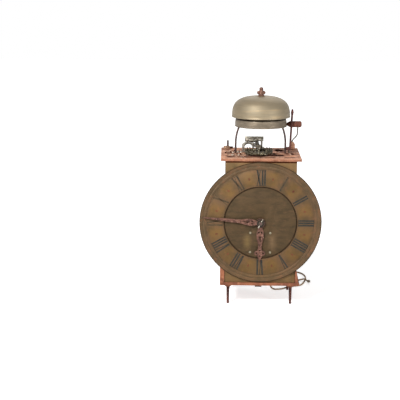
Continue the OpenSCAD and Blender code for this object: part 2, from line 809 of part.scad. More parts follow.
module hand_pin() {
    washer_y = minute_hand_y - hand_t - 0.2;
    color("#b9bcc0") difference() {
        union() {
            pin_shape(0);
            y_rod(0, hand_z, washer_y - 2.6, washer_y, 3.6);
        }
        y_rod(0, hand_z, washer_y - 2.7, washer_y + 1, stub_r + 0.05);
    }
    color("#b9bcc0") intersection() {
        pin_shape(0);
        y_rod(0, hand_z, washer_y - 2.6, washer_y, 3.6);
    }
}

// Motion work

module minute_wheel() {
    color(brass) difference() {
        union() {
            stand_up(0, plane_a, hand_z, motion_t)
                polygon(tooth_outline(drive_teeth, drive_m, wheel_tooth, -90));
            pinion(0, hand_z, plane_b - motion_t, plane_a, motion_m, cannon_leaves, 0);
            y_rod(0, hand_z, minute_hand_y, plane_b, cannon_r);
            y_rod(0, hand_z, minute_hand_y - hand_t, minute_hand_y, cannon_r - 0.8);
        }
        y_rod(0, hand_z, stub_end_y, plane_a + 1, stub_r + run);
    }
}

module hour_wheel() {
    turn = mate_turn([0, hand_z], [motion_x, motion_z], hour_teeth, motion_leaves, 0);
    color(brass) difference() {
        union() {
            stand_up(0, plane_c, hand_z, motion_t)
                polygon(tooth_outline(hour_teeth, hour_m, wheel_tooth, 0));
            y_rod(0, hand_z, hour_hand_y, plane_c, hour_pipe_r);
            y_rod(0, hand_z, hour_hand_y - hand_t, hour_hand_y, hour_pipe_r - 0.7);
        }
        y_rod(0, hand_z, hour_hand_y - hand_t - 1, plane_c + 1, cannon_r + run);
    }
}

// Angle of the first tooth of a second gear so that it meets the first without touching
function mate_turn(c1, c2, z1, z2, turn1) =
    let (d = atan2(c2[1] - c1[1], c2[0] - c1[0]))
        d + 180 + 180 / z2 + (d - turn1) * z1 / z2;

module motion_wheel() {
    color(brass) difference() {
        union() {
            stand_up(motion_x, plane_b, motion_z, motion_t) polygon(tooth_outline(motion_teeth,
                motion_m, wheel_tooth,
                mate_turn([0, hand_z], [motion_x, motion_z], cannon_leaves, motion_teeth, 0)));
            pinion(motion_x, motion_z, plane_c - motion_t, plane_b, hour_m, motion_leaves,
                mate_turn([0, hand_z], [motion_x, motion_z], hour_teeth, motion_leaves, 0));
        }
        y_rod(motion_x, motion_z, plane_c - 3, plane_b + 1, stud_r + run);
    }
}

module driving_wheel() {
    color(brass) difference() {
        stand_up(0, plane_a, great_z, motion_t) polygon(tooth_outline(drive_teeth, drive_m,
            wheel_tooth, mate_turn([0, hand_z], [0, great_z], drive_teeth, drive_teeth, -90)));
        y_rod(0, great_z, plane_a - 3, plane_a + 1, arbor_d / 2 + run);
    }
}

// Going train

great_turn = 90;
second_turn = mate_turn([0, great_z], [second_dx, second_z], great_teeth, leaves, great_turn);
bar_inner = bar_t / 2;

module great_wheel_body(y) {
    spoked_wheel(0, y, great_z, wheel_t, great_teeth, great_m, great_turn, 12, 1);
}

// A click riveted to a great wheel bears on the ratchet of its pulley
module click(y0, y1) {
    stand_up(-12, y1, great_z + 13, y1 - y0)
        polygon([[-4, 2], [3.5, -2.4], [4.6, -1.2], [-2, 5]]);
}

module going_great_wheel() {
    color(brass) {
        great_wheel_body(great_plane);
        y_rod(0, great_z, plane_a - motion_t - 0.4, -bar_inner - 0.4, arbor_d / 2);
        y_rod(0, great_z, -bar_inner - 1, -0.1, pivot_d / 2);
    }
}

// A rope pulley: two cheeks, a ring of points that grip the rope, and a ratchet
module rope_pulley(y, ratchet_t) {
    neck_r = pulley_r - 6;
    cheek_t = 2;
    color(brass) difference() {
        union() {
            y_rod(0, great_z, y, y + cheek_t, pulley_r);
            y_rod(0, great_z, y + pulley_w - cheek_t, y + pulley_w, pulley_r);
            y_rod(0, great_z, y + 1, y + pulley_w - 1, neck_r);
            for (a = [0:30:330]) translate([0, y + pulley_w / 2, great_z]) rotate([0, a, 0])
                translate([0, 0, neck_r - 1]) cylinder(h = 4, d1 = 3, d2 = 0.8, $fn = 16);
            stand_up(0, y + 0.1, great_z, ratchet_t + 0.1) polygon([for (i = [0:17])
                for (p = [[9.4, 0], [11.6, 2]]) p[0] * [cos(20 * i + p[1]), sin(20 * i + p[1])]]);
        }
        y_rod(0, great_z, y - ratchet_t - 1, y + pulley_w + 1, arbor_d / 2 + run);
    }
}

module going_pulley() { rope_pulley(pulley_plane - pulley_w, 2.6); }

module second_wheel() {
    color(brass) {
        spoked_wheel(second_dx, second_plane, second_z, wheel_t, second_teeth, second_m,
            second_turn, 5, 1);
        pinion(second_dx, second_z, great_plane - wheel_t - 0.5, great_plane + 0.5, great_m,
            leaves, second_turn);
        arbor(second_dx, second_z, front_bar_y + bar_inner, -bar_inner);
    }
}

// The contrate wheel's teeth point to the back and drive the upright crown arbor
module contrate_wheel() {
    turn = mate_turn([second_dx, second_z], [-escape_x, contrate_z], second_teeth, leaves,
        second_turn);
    color(brass) {
        stand_up(-escape_x, contrate_root_y, contrate_z, contrate_root_y - contrate_back_y)
            ring_shape(contrate_r + 1.5, contrate_r - 1.5);
        stand_up(-escape_x, contrate_back_y + 2, contrate_z, 2) difference() {
            union() {
                circle(5);
                for (a = [45:90:315]) rotate(a) translate([0, -1.6]) square([contrate_r, 3.2]);
            }
            circle(1);
        }
        for (i = [0:contrate_teeth - 1])
            translate([-escape_x, contrate_root_y - 0.1, contrate_z])
                rotate([0, 360 / contrate_teeth * (i + 0.5), 0])
                    translate([0, 0, contrate_r - 1.2]) linear_extrude(2.4) polygon([
                        [-1.1, 0], [-0.75, 1.5], [-0.3, 2.6], [0.3, 2.6], [0.75, 1.5], [1.1, 0]]);
        pinion(-escape_x, contrate_z, second_plane - wheel_t - 0.5, second_plane + 0.5, second_m,
            leaves, turn);
        arbor(-escape_x, contrate_z, front_bar_y + bar_inner, -bar_inner);
    }
}

module crown_wheel() {
    band = 1.6;
    color(old_brass) translate([-escape_x, -crown_y, 0]) {
        translate([0, 0, crown_bottom_z]) linear_extrude(crown_band_h)
            ring_shape(crown_r, crown_r - band);
        translate([0, 0, crown_bottom_z]) linear_extrude(2) difference() {
            union() {
                circle(5);
                for (a = [0:90:270]) rotate(a + 20) translate([0, -1.6])
                    square([crown_r - 0.8, 3.2]);
            }
            circle(1);
        }
        for (i = [0:crown_teeth - 1]) rotate(360 / crown_teeth * i)
            translate([crown_r - band + 0.1, 0, crown_bottom_z + crown_band_h - 0.5])
                rotate([90, 0, 90]) linear_extrude(band - 0.4)
                    polygon([[-2.6, 0], [2.4, 0], [2.4, crown_tooth_h + 0.5],
                        [1.8, crown_tooth_h + 0.5], [0.6, crown_tooth_h * 0.45]]);
        // Arbor, pivots and the pinion that the contrate wheel drives
        translate([0, 0, potence_z + 0.4])
            cylinder(h = crown_bottom_z + 4 - potence_z - 0.4, d = arbor_d);
        translate([0, 0, potence_z - potence_t]) cylinder(h = potence_t + 1, d = pivot_d);
        translate([0, 0, crown_bottom_z + 3]) cylinder(h = upper_potence_z + 2 - crown_bottom_z - 3,
            d = pivot_d);
        translate([0, 0, contrate_top_z - 3.2]) linear_extrude(6.4)
            polygon(tooth_outline(leaves, contrate_m, [0.45, 1.25, 0.28, 0.14, 0.34], 90));
    }
}

// Escapement on the top plate

upper_potence_z = crown_tip_z + 0.8;
upper_potence_t = 2.2;
bridge_left = -32.2;
bridge_bar_z = top_z + 20.6;

// The iron bridge over the back of the crown wheel: an arch, a sloping strap, two tabs
// for the bar and an arm that holds the crown arbor's upper pivot
module verge_bridge() {
    z0 = top_z;
    verge_gap = bridge_bar_z;
    color(steel) difference() {
        union() {
            translate([0, bridge_y + bridge_d / 2, 0]) rotate([90, 0, 0]) linear_extrude(bridge_d)
                difference() {
                    union() {
                        polygon([[bridge_left, z0], [bridge_left, z0 + 14], [-29, z0 + 17.3],
                            [-13, z0 + 17.3], [0.5, z0 + 12], [4.4, z0 + 9.6], [9.5, z0 + 2.2],
                            [11.5, z0 + 2.2], [11.5, z0]]);
                        translate([-26.4, z0 + 16]) square([6.2, 11.4]);
                        polygon([[0.6, z0 + 10], [4, z0 + 8], [4, z0 + 27.4], [-4.6, z0 + 27.4],
                            [-4.6, verge_gap], [0.6, verge_gap]]);
                    }
                    translate([-21, z0 + 8]) circle(7);
                    translate([-28, z0 + 2.2]) square([14, 6]);
                    polygon([[-11.2, z0 + 2.2], [-11.2, z0 + 13.6], [-1, z0 + 9.8],
                        [2.8, z0 + 7.6], [6.6, z0 + 2.2]]);
                }
            translate([0, 0, upper_potence_z]) linear_extrude(upper_potence_t) polygon([
                [-14, bridge_y - 2.9], [-11.2, bridge_y - 2.9], [-9.2, -crown_y + 13],
                [-escape_x + 3, -crown_y + 3], [-escape_x + 3, -crown_y - 3],
                [-escape_x - 3, -crown_y - 3], [-escape_x - 3, -crown_y + 3],
                [-14, -crown_y + 13]]);
        }
        translate([-escape_x, -crown_y, upper_potence_z - 1])
            cylinder(h = upper_potence_t + 2, d = pivot_d + 2 * run);
        bridge_screw_places() y_rod(0, 0, bridge_y - bridge_d, bridge_y + bridge_d, 1.3 + seat);
        y_rod(-escape_x, verge_z, bridge_y - 6, bridge_y + 6, verge_d / 2 + 0.4);
    }
}

bridge_bar_t = 2.6;

module bridge_screw_places() {
    for (x = [-23.3, -1.6]) translate([x, 0, bridge_bar_z + 3.3]) children();
}

module bridge_bar() {
    y = bridge_y - bridge_d / 2;
    z0 = bridge_bar_z;
    color("#8f8c82") difference() {
        translate([-27.2, y - bridge_bar_t, z0]) cube([32.7, bridge_bar_t, 8.2]);
        bridge_screw_places() y_rod(0, 0, y - 4, y + 1, 1.3 + seat);
        y_rod(3.3, bridge_bar_z + 2.9, y - 4, y + 1, 1.1);
    }
}

module bridge_screws() {
    y = bridge_y - bridge_d / 2 - bridge_bar_t;
    color(dark_iron) bridge_screw_places() difference() {
        union() {
            y_rod(0, 0, y - 1.4, y, 2.4);
            y_rod(0, 0, y - 0.5, bridge_y + bridge_d / 2, 1.3);
        }
        translate([-3, y - 2, -0.35]) cube([6, 1.1, 0.7]);
    }
}

// The verge's front bearing: an arm under the bridge bar, with its foot behind the bar
module front_cock() {
    y0 = cock_y - cock_t / 2;
    foot_y = bridge_y - bridge_d / 2;
    arm_z = verge_z + verge_d / 2 + 0.3;
    low_t = bridge_bar_z - 0.1 - arm_z;
    color(dark_iron) difference() {
        union() {
            translate([-19.9, foot_y, arm_z]) cube([15, 1.8, bridge_bar_z + 7.4 - arm_z]);
            translate([-9.5, y0, arm_z]) cube([4.6, foot_y + 1.8 - y0, low_t]);
            translate([-9.5, y0, arm_z]) cube([4.6, foot_y - bridge_bar_t - 0.6 - y0, 3.6]);
            translate([-9.5, y0, arm_z]) cube([8.5, cock_t, 3.6]);
            translate([-escape_x - 2.5, y0, verge_z]) cube([5, cock_t, arm_z + 1 - verge_z]);
            y_rod(-escape_x, verge_z, y0, y0 + cock_t, verge_d / 2 + 1.2);
        }
        y_rod(-escape_x, verge_z, y0 - 1, y0 + cock_t + 1, verge_d / 2 + run);
    }
}

// The verge's rear bearing: an upright strap with its foot on the top plate
module rear_cock() {
    y = rear_cock_y;
    color(dark_iron) difference() {
        union() {
            translate([-escape_x - 1.5, y - cock_t / 2, top_z]) cube([3, cock_t, verge_h]);
            y_rod(-escape_x, verge_z, y - cock_t / 2, y + cock_t / 2, verge_d / 2 + 1.2);
            translate([-escape_x - 2.2, y, top_z]) cube([4.4, 8, 2]);
        }
        y_rod(-escape_x, verge_z, y - cock_t, y + cock_t, verge_d / 2 + run);
    }
}

module verge() {
    color(steel) {
        y_rod(-escape_x, verge_z, cock_y - cock_t / 2 - 0.8, pendulum_y + 1.8, verge_d / 2);
        for (side = [-1, 1]) {
            y = -crown_y + side * (crown_r - 0.8);
            translate([-escape_x, y - 1.5, verge_z]) rotate([0, side * -45, 0])
                translate([-0.45, 0, -pallet_len]) cube([0.9, 3, pallet_len]);
        }
    }
}

module pendulum_rod() {
    low_z = bob_z - bob_d / 2 - 4;
    color(steel) difference() {
        union() {
            y_rod(-escape_x, verge_z, pendulum_y - 2, pendulum_y + 2, verge_d / 2 + 2);
            translate([-escape_x, pendulum_y, low_z]) cylinder(h = verge_z - low_z - 2, d = rod_d);
        }
        y_rod(-escape_x, verge_z, pendulum_y - 3, pendulum_y + 3, verge_d / 2 + 0.05);
    }
}

module pendulum_bob() {
    color(brass) difference() {
        translate([-escape_x, pendulum_y, bob_z]) rotate([90, 0, 0]) rotate_extrude()
            polygon([[0, -bob_t / 2], [bob_d * 0.2, -bob_t / 2], [bob_d * 0.4, -bob_t * 0.3],
                [bob_d / 2, -0.5], [bob_d / 2, 0.5], [bob_d * 0.4, bob_t * 0.3],
                [bob_d * 0.2, bob_t / 2], [0, bob_t / 2]]);
        translate([-escape_x, pendulum_y, bob_z - bob_d]) cylinder(h = 2 * bob_d, d = rod_d + 0.1);
    }
}

// Bells

// Section of a bell: a steep wall that turns into a flat crown
function bell_curve(r, h) = concat([for (a = [0:6:84]) [r * pow(cos(a), 2 / 3),
    h * pow(sin(a), 2 / 3)]], [[8, h]]);

module bell(r, h, rim_z) {
    outer = bell_curve(r, h);
    inner = bell_curve(r - bell_t, h - bell_t);
    bore = stud_d / 2 + seat;
    translate([0, 0, rim_z]) rotate_extrude($fn = 96) polygon(concat(outer, [[bore, h],
        [bore, h - bell_t]], [for (i = [len(inner) - 1:-1:0]) inner[i]]));
}

module lower_bell() { color("#8c806c") bell(lower_bell_r, lower_bell_h, top_z + lower_rim_h); }
module upper_bell() { color(bell_brass) bell(upper_bell_r, upper_bell_h, top_z + upper_rim_h); }

module bell_spacer() {
    inner_z = upper_crown_z - bell_t;
    color(red_iron) difference() {
        translate([0, 0, lower_crown_z]) cylinder(h = inner_z - lower_crown_z, r = 5);
        translate([0, 0, lower_crown_z - 1])
            cylinder(h = inner_z - lower_crown_z + 2, d = stud_d + 2 * seat);
    }
}

// One bent rod: a straight foot on each side, side arcs, a round crown and a stud.
// A forged knuckle covers each joint of two arcs
module bell_stand() {
    seat_z = lower_crown_z - bell_t;
    knuckle = stand_d + 0.5;
    knee = [side_arc_r * cos(side_angle) - side_arc_x,
        stand_leg_z + side_arc_r * sin(side_angle)];
    color(dark_iron) {
        for (sx = [0, 1]) mirror([sx, 0, 0]) {
            translate([stand_x, 0, roof_z]) cylinder(h = stand_leg_z - roof_z, d = stand_d);
            translate([-side_arc_x, 0, stand_leg_z]) rotate([90, 0, 0])
                rotate_extrude(angle = side_angle, $fn = 96)
                    translate([side_arc_r, 0]) circle(stand_d / 2, $fn = 32);
            translate([stand_x, 0, stand_leg_z]) sphere(d = knuckle, $fn = 32);
            translate([knee[0], 0, knee[1]]) sphere(d = knuckle, $fn = 32);
        }
        translate([0, 0, stand_top_z - crown_arc_r]) rotate([90, 0, 0]) rotate(side_angle)
            rotate_extrude(angle = 180 - 2 * side_angle, $fn = 96)
                translate([crown_arc_r, 0]) circle(stand_d / 2, $fn = 32);
        translate([0, 0, stand_top_z - 1.4]) cylinder(h = seat_z - stand_top_z + 1.4, r = 4.5);
        translate([0, 0, stand_top_z]) cylinder(h = upper_crown_z + 9 - stand_top_z, d = stud_d);
    }
}

// A winged nut with a knob, screwed on the stand's stud
module bell_nut() {
    color(steel) difference() {
        union() {
            translate([0, 0, upper_crown_z]) cylinder(h = 2, r = 5.2);
            translate([0, 0, upper_crown_z + 1]) cylinder(h = 9, r = 3.5);
            for (sx = [-1, 1]) translate([sx * 4.4, 1.3, upper_crown_z + 5.6]) rotate([90, 0, 0])
                linear_extrude(2.6) circle(3.1);
            translate([0, 0, upper_crown_z + nut_h - 3.2]) intersection() {
                sphere(3.5);
                cylinder(h = 6.4, r = 4, center = true);
            }
            translate([0, 0, upper_crown_z + 9]) cylinder(h = 3, r = 2.2);
        }
        translate([0, 0, upper_crown_z - 1]) cylinder(h = 10.3, d = stud_d + 2 * seat);
    }
}

// Hammers

hammer_tail_z = great_z;
left_pin_x = 57.3;
left_pin_d = 3.6;

// The upright arbor of the strike hammer: square head above the top plate, tail below
module hammer_arbor() {
    tail_x = great_teeth * great_m / 2 - 0.6;
    color("#a0603f") {
        translate([hammer_x, hammer_y, base_z + free])
            cylinder(h = top_z + 2 - base_z - free, d = upright_pivot_d);
        translate([hammer_x, hammer_y, cage_z + 0.4])
            cylinder(h = cage_h - 0.8, d = hammer_arbor_d);
        difference() {
            translate([hammer_x, hammer_y, top_z + 0.4]) rotate(45) {
                cylinder(h = block_h - 0.4, d = hammer_block * sqrt(2), $fn = 4);
                translate([0, 0, block_h - 0.4])
                    cylinder(h = point_h, d1 = hammer_block * sqrt(2), d2 = 5, $fn = 4);
            }
            translate([hammer_x, hammer_y, top_z + 3])
                cylinder(h = 20, d = hammer_stem_d + 2 * seat);
            translate([hammer_x, hammer_y, top_z + block_h])
                cylinder(h = point_h, d1 = hammer_stem_d, d2 = hammer_stem_d + 1.2);
        }
        translate([0, 0, hammer_tail_z - 2]) linear_extrude(4) polygon([
            [hammer_x, hammer_y - 1.7], [hammer_x, hammer_y + 1.7], [44.6, hammer_y + 1.7],
            [tail_x, 17.5], [tail_x, 14.8], [tail_x + 3, 14.8], [47, hammer_y - 1.7]]);
    }
}

// The bent wire that carries the hammer head round to the side of the bell
function stem_points() = let (x = hammer_x, y = hammer_y, z = top_z + 3.2, hx = head_nose_x + 20)
    smooth_line([[x, y, z], [x, y, z + 5], [x, y, z + 10.2], [x + 0.2, y - 0.6, z + 11.8],
        [x + 1.6, y - 7, z + 15.6],
        [x + 4.2, y - 19, z + 20.5], [hx + 0.3, y - 29, z + 26.5], [hx + 0.2, y - 41, z + 34.5],
        [hx, head_y + 1.5, z + 40], [hx, head_y, head_z - hammer_d / 2 + 0.4],
        [hx, head_y, head_z - hammer_d / 2 + 3.4]], 4);

module hammer_stem() {
    p = stem_points();
    color(steel) tube(p, same_radius(p, hammer_stem_d / 2), 12);
}

module hammer_head() {
    r = hammer_d / 2;
    hx = head_nose_x + 20;
    color("#734130") difference() {
        translate([head_nose_x, head_y, head_z]) rotate([0, 90, 0]) rotate_extrude()
            polygon([[0, 0], [1.6, 0], [3.4, 2], [r, 6.6], [r, hammer_len - 2.4],
                [r - 0.7, hammer_len - 0.8], [r - 2.2, hammer_len], [0, hammer_len]]);
        translate([hx, head_y, head_z - r - 1]) cylinder(h = 4.6, d = hammer_stem_d + 2 * seat);
    }
}

// A fixed pin at the back left of the top plate, with its block
module left_pin() {
    color(steel) translate([-left_pin_x, hammer_y, roof_z]) cylinder(h = top_t + 14.8,
        d = left_pin_d);
}

module left_pin_block() {
    color("#b98f63") difference() {
        union() {
            translate([-65, hammer_y - 4.5, top_z]) cube([11, 9, 4.1]);
            translate([-54.1, hammer_y - 3.5, top_z]) cube([6.1, 7, 3.2]);
        }
        translate([-left_pin_x, hammer_y, top_z - 1]) cylinder(h = 8, d = left_pin_d + 2 * seat);
    }
}

half_pin_d = 2.4;

module half_hour_post() {
    color("#c9c4ba") difference() {
        union() {
            translate([half_x, half_post_y, top_z]) cylinder(h = half_h - 1.6, d = 2.8);
            translate([half_x - 2.6, half_post_y - 1.5, half_z - 2.4]) cube([5.2, 3, 4.8]);
        }
        y_rod(half_x, half_z, half_post_y - 3, half_post_y + 3, half_pin_d / 2 + run);
    }
}

module half_hour_hammer() {
    block_y0 = half_y - 2;
    block_y1 = half_post_y - 1.8;
    color("#5a2f2c") {
        y_rod(half_x, half_z, block_y1 - 1, half_post_y + 3, half_pin_d / 2);
        translate([half_x - 4.8, block_y0, half_z - 2.2]) cube([7, block_y1 - block_y0, 4.4]);
        translate([half_x + half_side, half_y, half_z]) rotate([0, half_lean, 0]) {
            cylinder(h = half_len - 10, d = half_d - 0.1);
            translate([0, 0, half_len - 10.1]) cylinder(h = 4.4, d1 = half_d - 0.1, d2 = half_d + 1.5);
            translate([0, 0, half_len - 5.8]) cylinder(h = 5.8, d1 = half_d + 1.5, d2 = 2.6);
        }
    }
}

// Strike train

hoop_turn = mate_turn([0, great_z], [second_dx, second_z], great_teeth, leaves, great_turn);
warning_turn = mate_turn([second_dx, second_z], [warning_x, warning_z], second_teeth, leaves,
    hoop_turn);
count_turn = -90;

module strike_great_wheel() {
    color(brass) {
        great_wheel_body(strike_plane);
        for (i = [0:lift_pins - 1]) {
            a = 360 / lift_pins * i;
            y_rod(lift_pin_r * cos(a), great_z + lift_pin_r * sin(a), strike_plane - 1,
                strike_plane + 5, 1);
        }
        y_rod(0, great_z, bar_inner + 0.4, back_out_y + 2.6, arbor_d / 2);
        y_rod(0, great_z, 0.1, bar_inner + 1, pivot_d / 2);
        pinion(0, great_z, back_out_y + 0.6, back_out_y + 2.6, count_m, leaves,
            mate_turn([0, count_z], [0, great_z], count_teeth, leaves, 90));
    }
}

module strike_pulley() { rope_pulley(strike_pulley_plane, 2.6); }

module hoop_wheel() {
    hoop_r = second_teeth * second_m / 2 - 5;
    color(brass) {
        spoked_wheel(second_dx, hoop_plane, second_z, wheel_t, second_teeth, second_m, hoop_turn,
            5, 1);
        stand_up(second_dx, hoop_plane - wheel_t + 0.1, second_z, 2.1) difference() {
            ring_shape(hoop_r + 1.2, hoop_r - 0.4);
            rotate(160) translate([hoop_r - 3, -3]) square([6, 6]);
        }
        pinion(second_dx, second_z, strike_plane - wheel_t - 0.5, strike_plane + 0.5, great_m,
            leaves, hoop_turn);
        arbor(second_dx, second_z, bar_inner, bar_y - bar_inner);
    }
}

module warning_wheel() {
    pin_r = warning_teeth * warning_m / 2 - 3;
    color(brass) {
        spoked_wheel(warning_x, warning_plane, warning_z, wheel_t, warning_teeth, warning_m,
            warning_turn, 4.5, 1);
        y_rod(warning_x + pin_r, warning_z, warning_plane - 1, warning_plane + 3.4, 0.8);
        pinion(warning_x, warning_z, hoop_plane - wheel_t - 0.5, hoop_plane + 0.5, second_m,
            leaves, warning_turn);
        arbor(warning_x, warning_z, bar_inner, bar_y - bar_inner);
    }
}

module fly() {
    vane_l = 30;
    color(old_brass) {
        translate([fly_x, 7, fly_z]) rotate([0, 35, 0]) translate([-0.5, 0, -17])
            cube([1, vane_l, 34]);
        pinion(fly_x, fly_z, warning_plane - wheel_t - 0.5, warning_plane + 0.5, warning_m,
            leaves, mate_turn([warning_x, warning_z], [fly_x, fly_z], warning_teeth, leaves,
                warning_turn));
        arbor(fly_x, fly_z, bar_inner, bar_y - bar_inner, 3);
    }
}

// Count wheel behind the back plate, on its own short arbor
module count_wheel() {
    disc_r = 20;
    slots = [0, 12, 36, 70, 106, 148, 195, 240, 290, 335];
    color(brass) {
        stand_up(0, count_plane + count_t, count_z, count_t)
            polygon(tooth_outline(count_teeth, count_m, wheel_tooth, 90));
        stand_up(0, count_plane + count_t + 1.1, count_z, 1.2) difference() {
            circle(disc_r);
            for (a = slots) rotate(a) translate([disc_r - 2.4, -1.2]) square([4, 2.4]);
        }
        y_rod(0, count_z, back_in_y - 1.9, count_plane + 0.1, stud_r);
        y_rod(0, count_z, back_in_y - 2, back_in_y - 0.4, 3);
    }
}

// Detent arbor: a locking finger behind the back plate and an arm that the cord pulls
module detent_arbor() {
    finger_y = back_out_y + 0.8;
    arm_y = cord_y - 1.4;
    color(dark_iron) {
        y_rod(detent_x, detent_z, front_bar_y + bar_inner + 0.4, finger_y + 1.6, arbor_d / 2);
        y_rod(detent_x, detent_z, front_bar_y - bar_inner, front_bar_y + bar_inner + 1,
            pivot_d / 2);
        stand_up(detent_x, finger_y + 1.6, detent_z, 1.6) polygon([[-3, 3], [3, 3],
            [16.6, count_z + 33 - detent_z], [20, count_z + 27.6 - detent_z],
            [17, count_z + 28.5 - detent_z], [13.4, count_z + 32 - detent_z]]);
        difference() {
            translate([detent_x, arm_y, detent_z + 0.4])
                cube([cord_x - detent_x + 4.6, 2.8, 2.6]);
            translate([cord_x - 2.4, arm_y - 1, detent_z - 3]) cube([4.8, 5, 8]);
        }
        translate([cord_x - 3, cord_y - 4.2, detent_z - 1]) linear_extrude(2) difference() {
            square([7.6, 8.4]);
            translate([0.6, 1.9]) square([4.8, 4.6]);
        }
    }
}

// Pull cord

// One layer of the coil: wound inwards, then up a layer and outwards again
coil_total = 2 * coil_turns + 0.25;
function coil_radius(t) = t < coil_turns ? coil_r - coil_pitch * t
    : t < coil_turns + 0.25 ? coil_r - coil_pitch * coil_turns
    : coil_r - coil_pitch * (2 * coil_turns + 0.25 - t);
function coil_height(t) = cord_r + coil_step
    * (1 - cos(180 * min(max((t - coil_turns) * 4, 0), 1))) / 2;
function coil_point(t) = [coil_at[0] - coil_radius(t) * sin(360 * t),
    coil_at[1] - coil_radius(t) * cos(360 * t), coil_height(t)];
coil_points = [for (i = [0:coil_rings * coil_total]) coil_point(i / coil_rings)];
coil_gap = min([for (i = [0:2:len(coil_points) - 1], j = [i + 10:len(coil_points) - 1])
    norm(coil_points[i] - coil_points[j])]) - cord_d;
echo(coil_gap_mm = coil_gap);
coil_in = unit(coil_points[1] - coil_points[0]);
coil_out = unit(coil_points[len(coil_points) - 1] - coil_points[len(coil_points) - 2]);

module pull_cord_coil() {
    p = coil_points;
    color("#c9b795") tube(p, same_radius(p, cord_r), 6, [0, 0, 1], [coil_in, coil_out]);
}

module pull_cord_lead() {
    first = coil_points[0];
    p = smooth_line(concat(lead_route, [first - 14 * coil_in, first - 4 * coil_in]), 3);
    color("#c9b795") {
        tube(concat(p, [first]), same_radius(concat(p, [first]), cord_r), 8, [0, 1, 0],
            [[0, 0, -1], coil_in]);
        translate([lead_route[0][0], lead_route[0][1], detent_z + 6.4]) sphere(3.4, $fn = 24);
    }
}

module pull_cord_tail() {
    last = coil_points[len(coil_points) - 1];
    p = smooth_line(concat([last + 4 * coil_out], tail_route), 3);
    body = concat([last], p);
    color("#d8cbb0") {
        tube(body, same_radius(body, cord_r), 8, [0, 0, 1], [coil_out]);
        hull() {
            translate(tail_route[len(tail_route) - 1]) sphere(cord_r, $fn = 16);
            translate(tassel_end) sphere(4.2, $fn = 16);
        }
    }
}

base_plate();
top_plate();
front_left_post();
front_right_post();
back_left_post();
back_right_post();
foot_collars();
front_plate();
back_plate();
front_bar();
middle_bar();
back_bar();
bar_wedges();
chapter_ring();
dial_centre();
dial_rivets();
left_door();
right_door();
bell_stand();
lower_bell();
bell_spacer();
upper_bell();
bell_nut();
verge_bridge();
bridge_bar();
bridge_screws();
front_cock();
rear_cock();
verge();
pendulum_rod();
pendulum_bob();
crown_wheel();
minute_hand();
hour_hand();
hand_pin();
minute_wheel();
hour_wheel();
motion_wheel();
driving_wheel();
going_great_wheel();
going_pulley();
second_wheel();
contrate_wheel();
strike_great_wheel();
strike_pulley();
hoop_wheel();
warning_wheel();
fly();
count_wheel();
hammer_arbor();
hammer_stem();
hammer_head();
left_pin();
left_pin_block();
half_hour_post();
half_hour_hammer();
detent_arbor();
pull_cord_lead();
pull_cord_coil();
pull_cord_tail();
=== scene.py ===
"""Posted lantern clock on a pale floor, dressed over its CAD frame.

Lengths are in millimetres where nothing else is said, and MM turns them into metres as they
go into a mesh or a node tree. X points right, Y from the dial to the back, Z up, and the feet
stand on Z = 0.
"""

from __future__ import annotations

import logging
import math
from dataclasses import dataclass
from enum import Enum
from typing import Callable, Iterable, Sequence

import bmesh
import bpy
from mathutils import Matrix, Vector

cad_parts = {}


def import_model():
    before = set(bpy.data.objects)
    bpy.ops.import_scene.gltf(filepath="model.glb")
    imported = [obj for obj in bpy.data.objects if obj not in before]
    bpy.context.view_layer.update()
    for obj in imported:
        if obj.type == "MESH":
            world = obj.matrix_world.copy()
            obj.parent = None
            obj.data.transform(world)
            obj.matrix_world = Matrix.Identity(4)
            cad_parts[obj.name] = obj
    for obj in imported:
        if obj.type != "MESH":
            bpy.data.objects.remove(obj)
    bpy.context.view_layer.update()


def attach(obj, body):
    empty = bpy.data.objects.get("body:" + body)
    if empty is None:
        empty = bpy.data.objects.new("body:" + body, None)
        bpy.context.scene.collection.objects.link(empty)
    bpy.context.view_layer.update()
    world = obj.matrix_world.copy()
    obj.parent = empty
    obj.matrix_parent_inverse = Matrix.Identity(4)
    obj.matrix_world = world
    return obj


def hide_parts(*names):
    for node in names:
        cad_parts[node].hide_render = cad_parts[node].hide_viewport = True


MM = 0.001
FRAME_BODY = "clock_frame"
BREAK_LIFT = 1.5  # a broken mark keeps this times the noise of itself, and never more than all

LOG = logging.getLogger("lantern_clock")

Point = tuple[float, float, float]
Place = tuple[float, float]
Span = tuple[float, float]
Outline = list[Place]
Colour = tuple[float, float, float]
SocketValue = float | tuple[float, ...]


# ---------------------------------------------------------------- node helpers


def add_socket(tree: bpy.types.NodeTree, name: str, way: str, kind: str,
               value: SocketValue | None = None) -> bpy.types.NodeTreeInterfaceSocket:
    """Add a named socket to a node tree's interface.

    Args:
        tree: The node tree that gets the socket.
        name: The socket's name.
        way: "INPUT" or "OUTPUT".
        kind: The short socket type, such as "Float" or "Color".
        value: The default value, where it has one.

    Returns:
        The new interface socket.
    """
    item = tree.interface.new_socket(name=name, in_out=way, socket_type=f"NodeSocket{kind}")
    if value is not None:
        item.default_value = value
    return item


def feed(tree: bpy.types.NodeTree, value: bpy.types.NodeSocket | SocketValue,
         socket: bpy.types.NodeSocket) -> None:
    """Link a value to an input, or write it there where it is a constant.

    Args:
        tree: The node tree of both.
        value: The output to link, or the constant.
        socket: The input.
    """
    if isinstance(value, bpy.types.NodeSocket):
        tree.links.new(value, socket)
    else:
        socket.default_value = value


def math_node(tree: bpy.types.NodeTree, operation: str,
              *values: bpy.types.NodeSocket | float) -> bpy.types.NodeSocket:
    """Add a math node fed by sockets and numbers.

    Args:
        tree: The node tree that gets the node.
        operation: The node's operation.
        values: Its operands in order.

    Returns:
        The node's result.
    """
    node = tree.nodes.new("ShaderNodeMath")
    node.operation = operation
    for socket, value in zip(node.inputs, values):
        feed(tree, value, socket)
    return node.outputs[0]


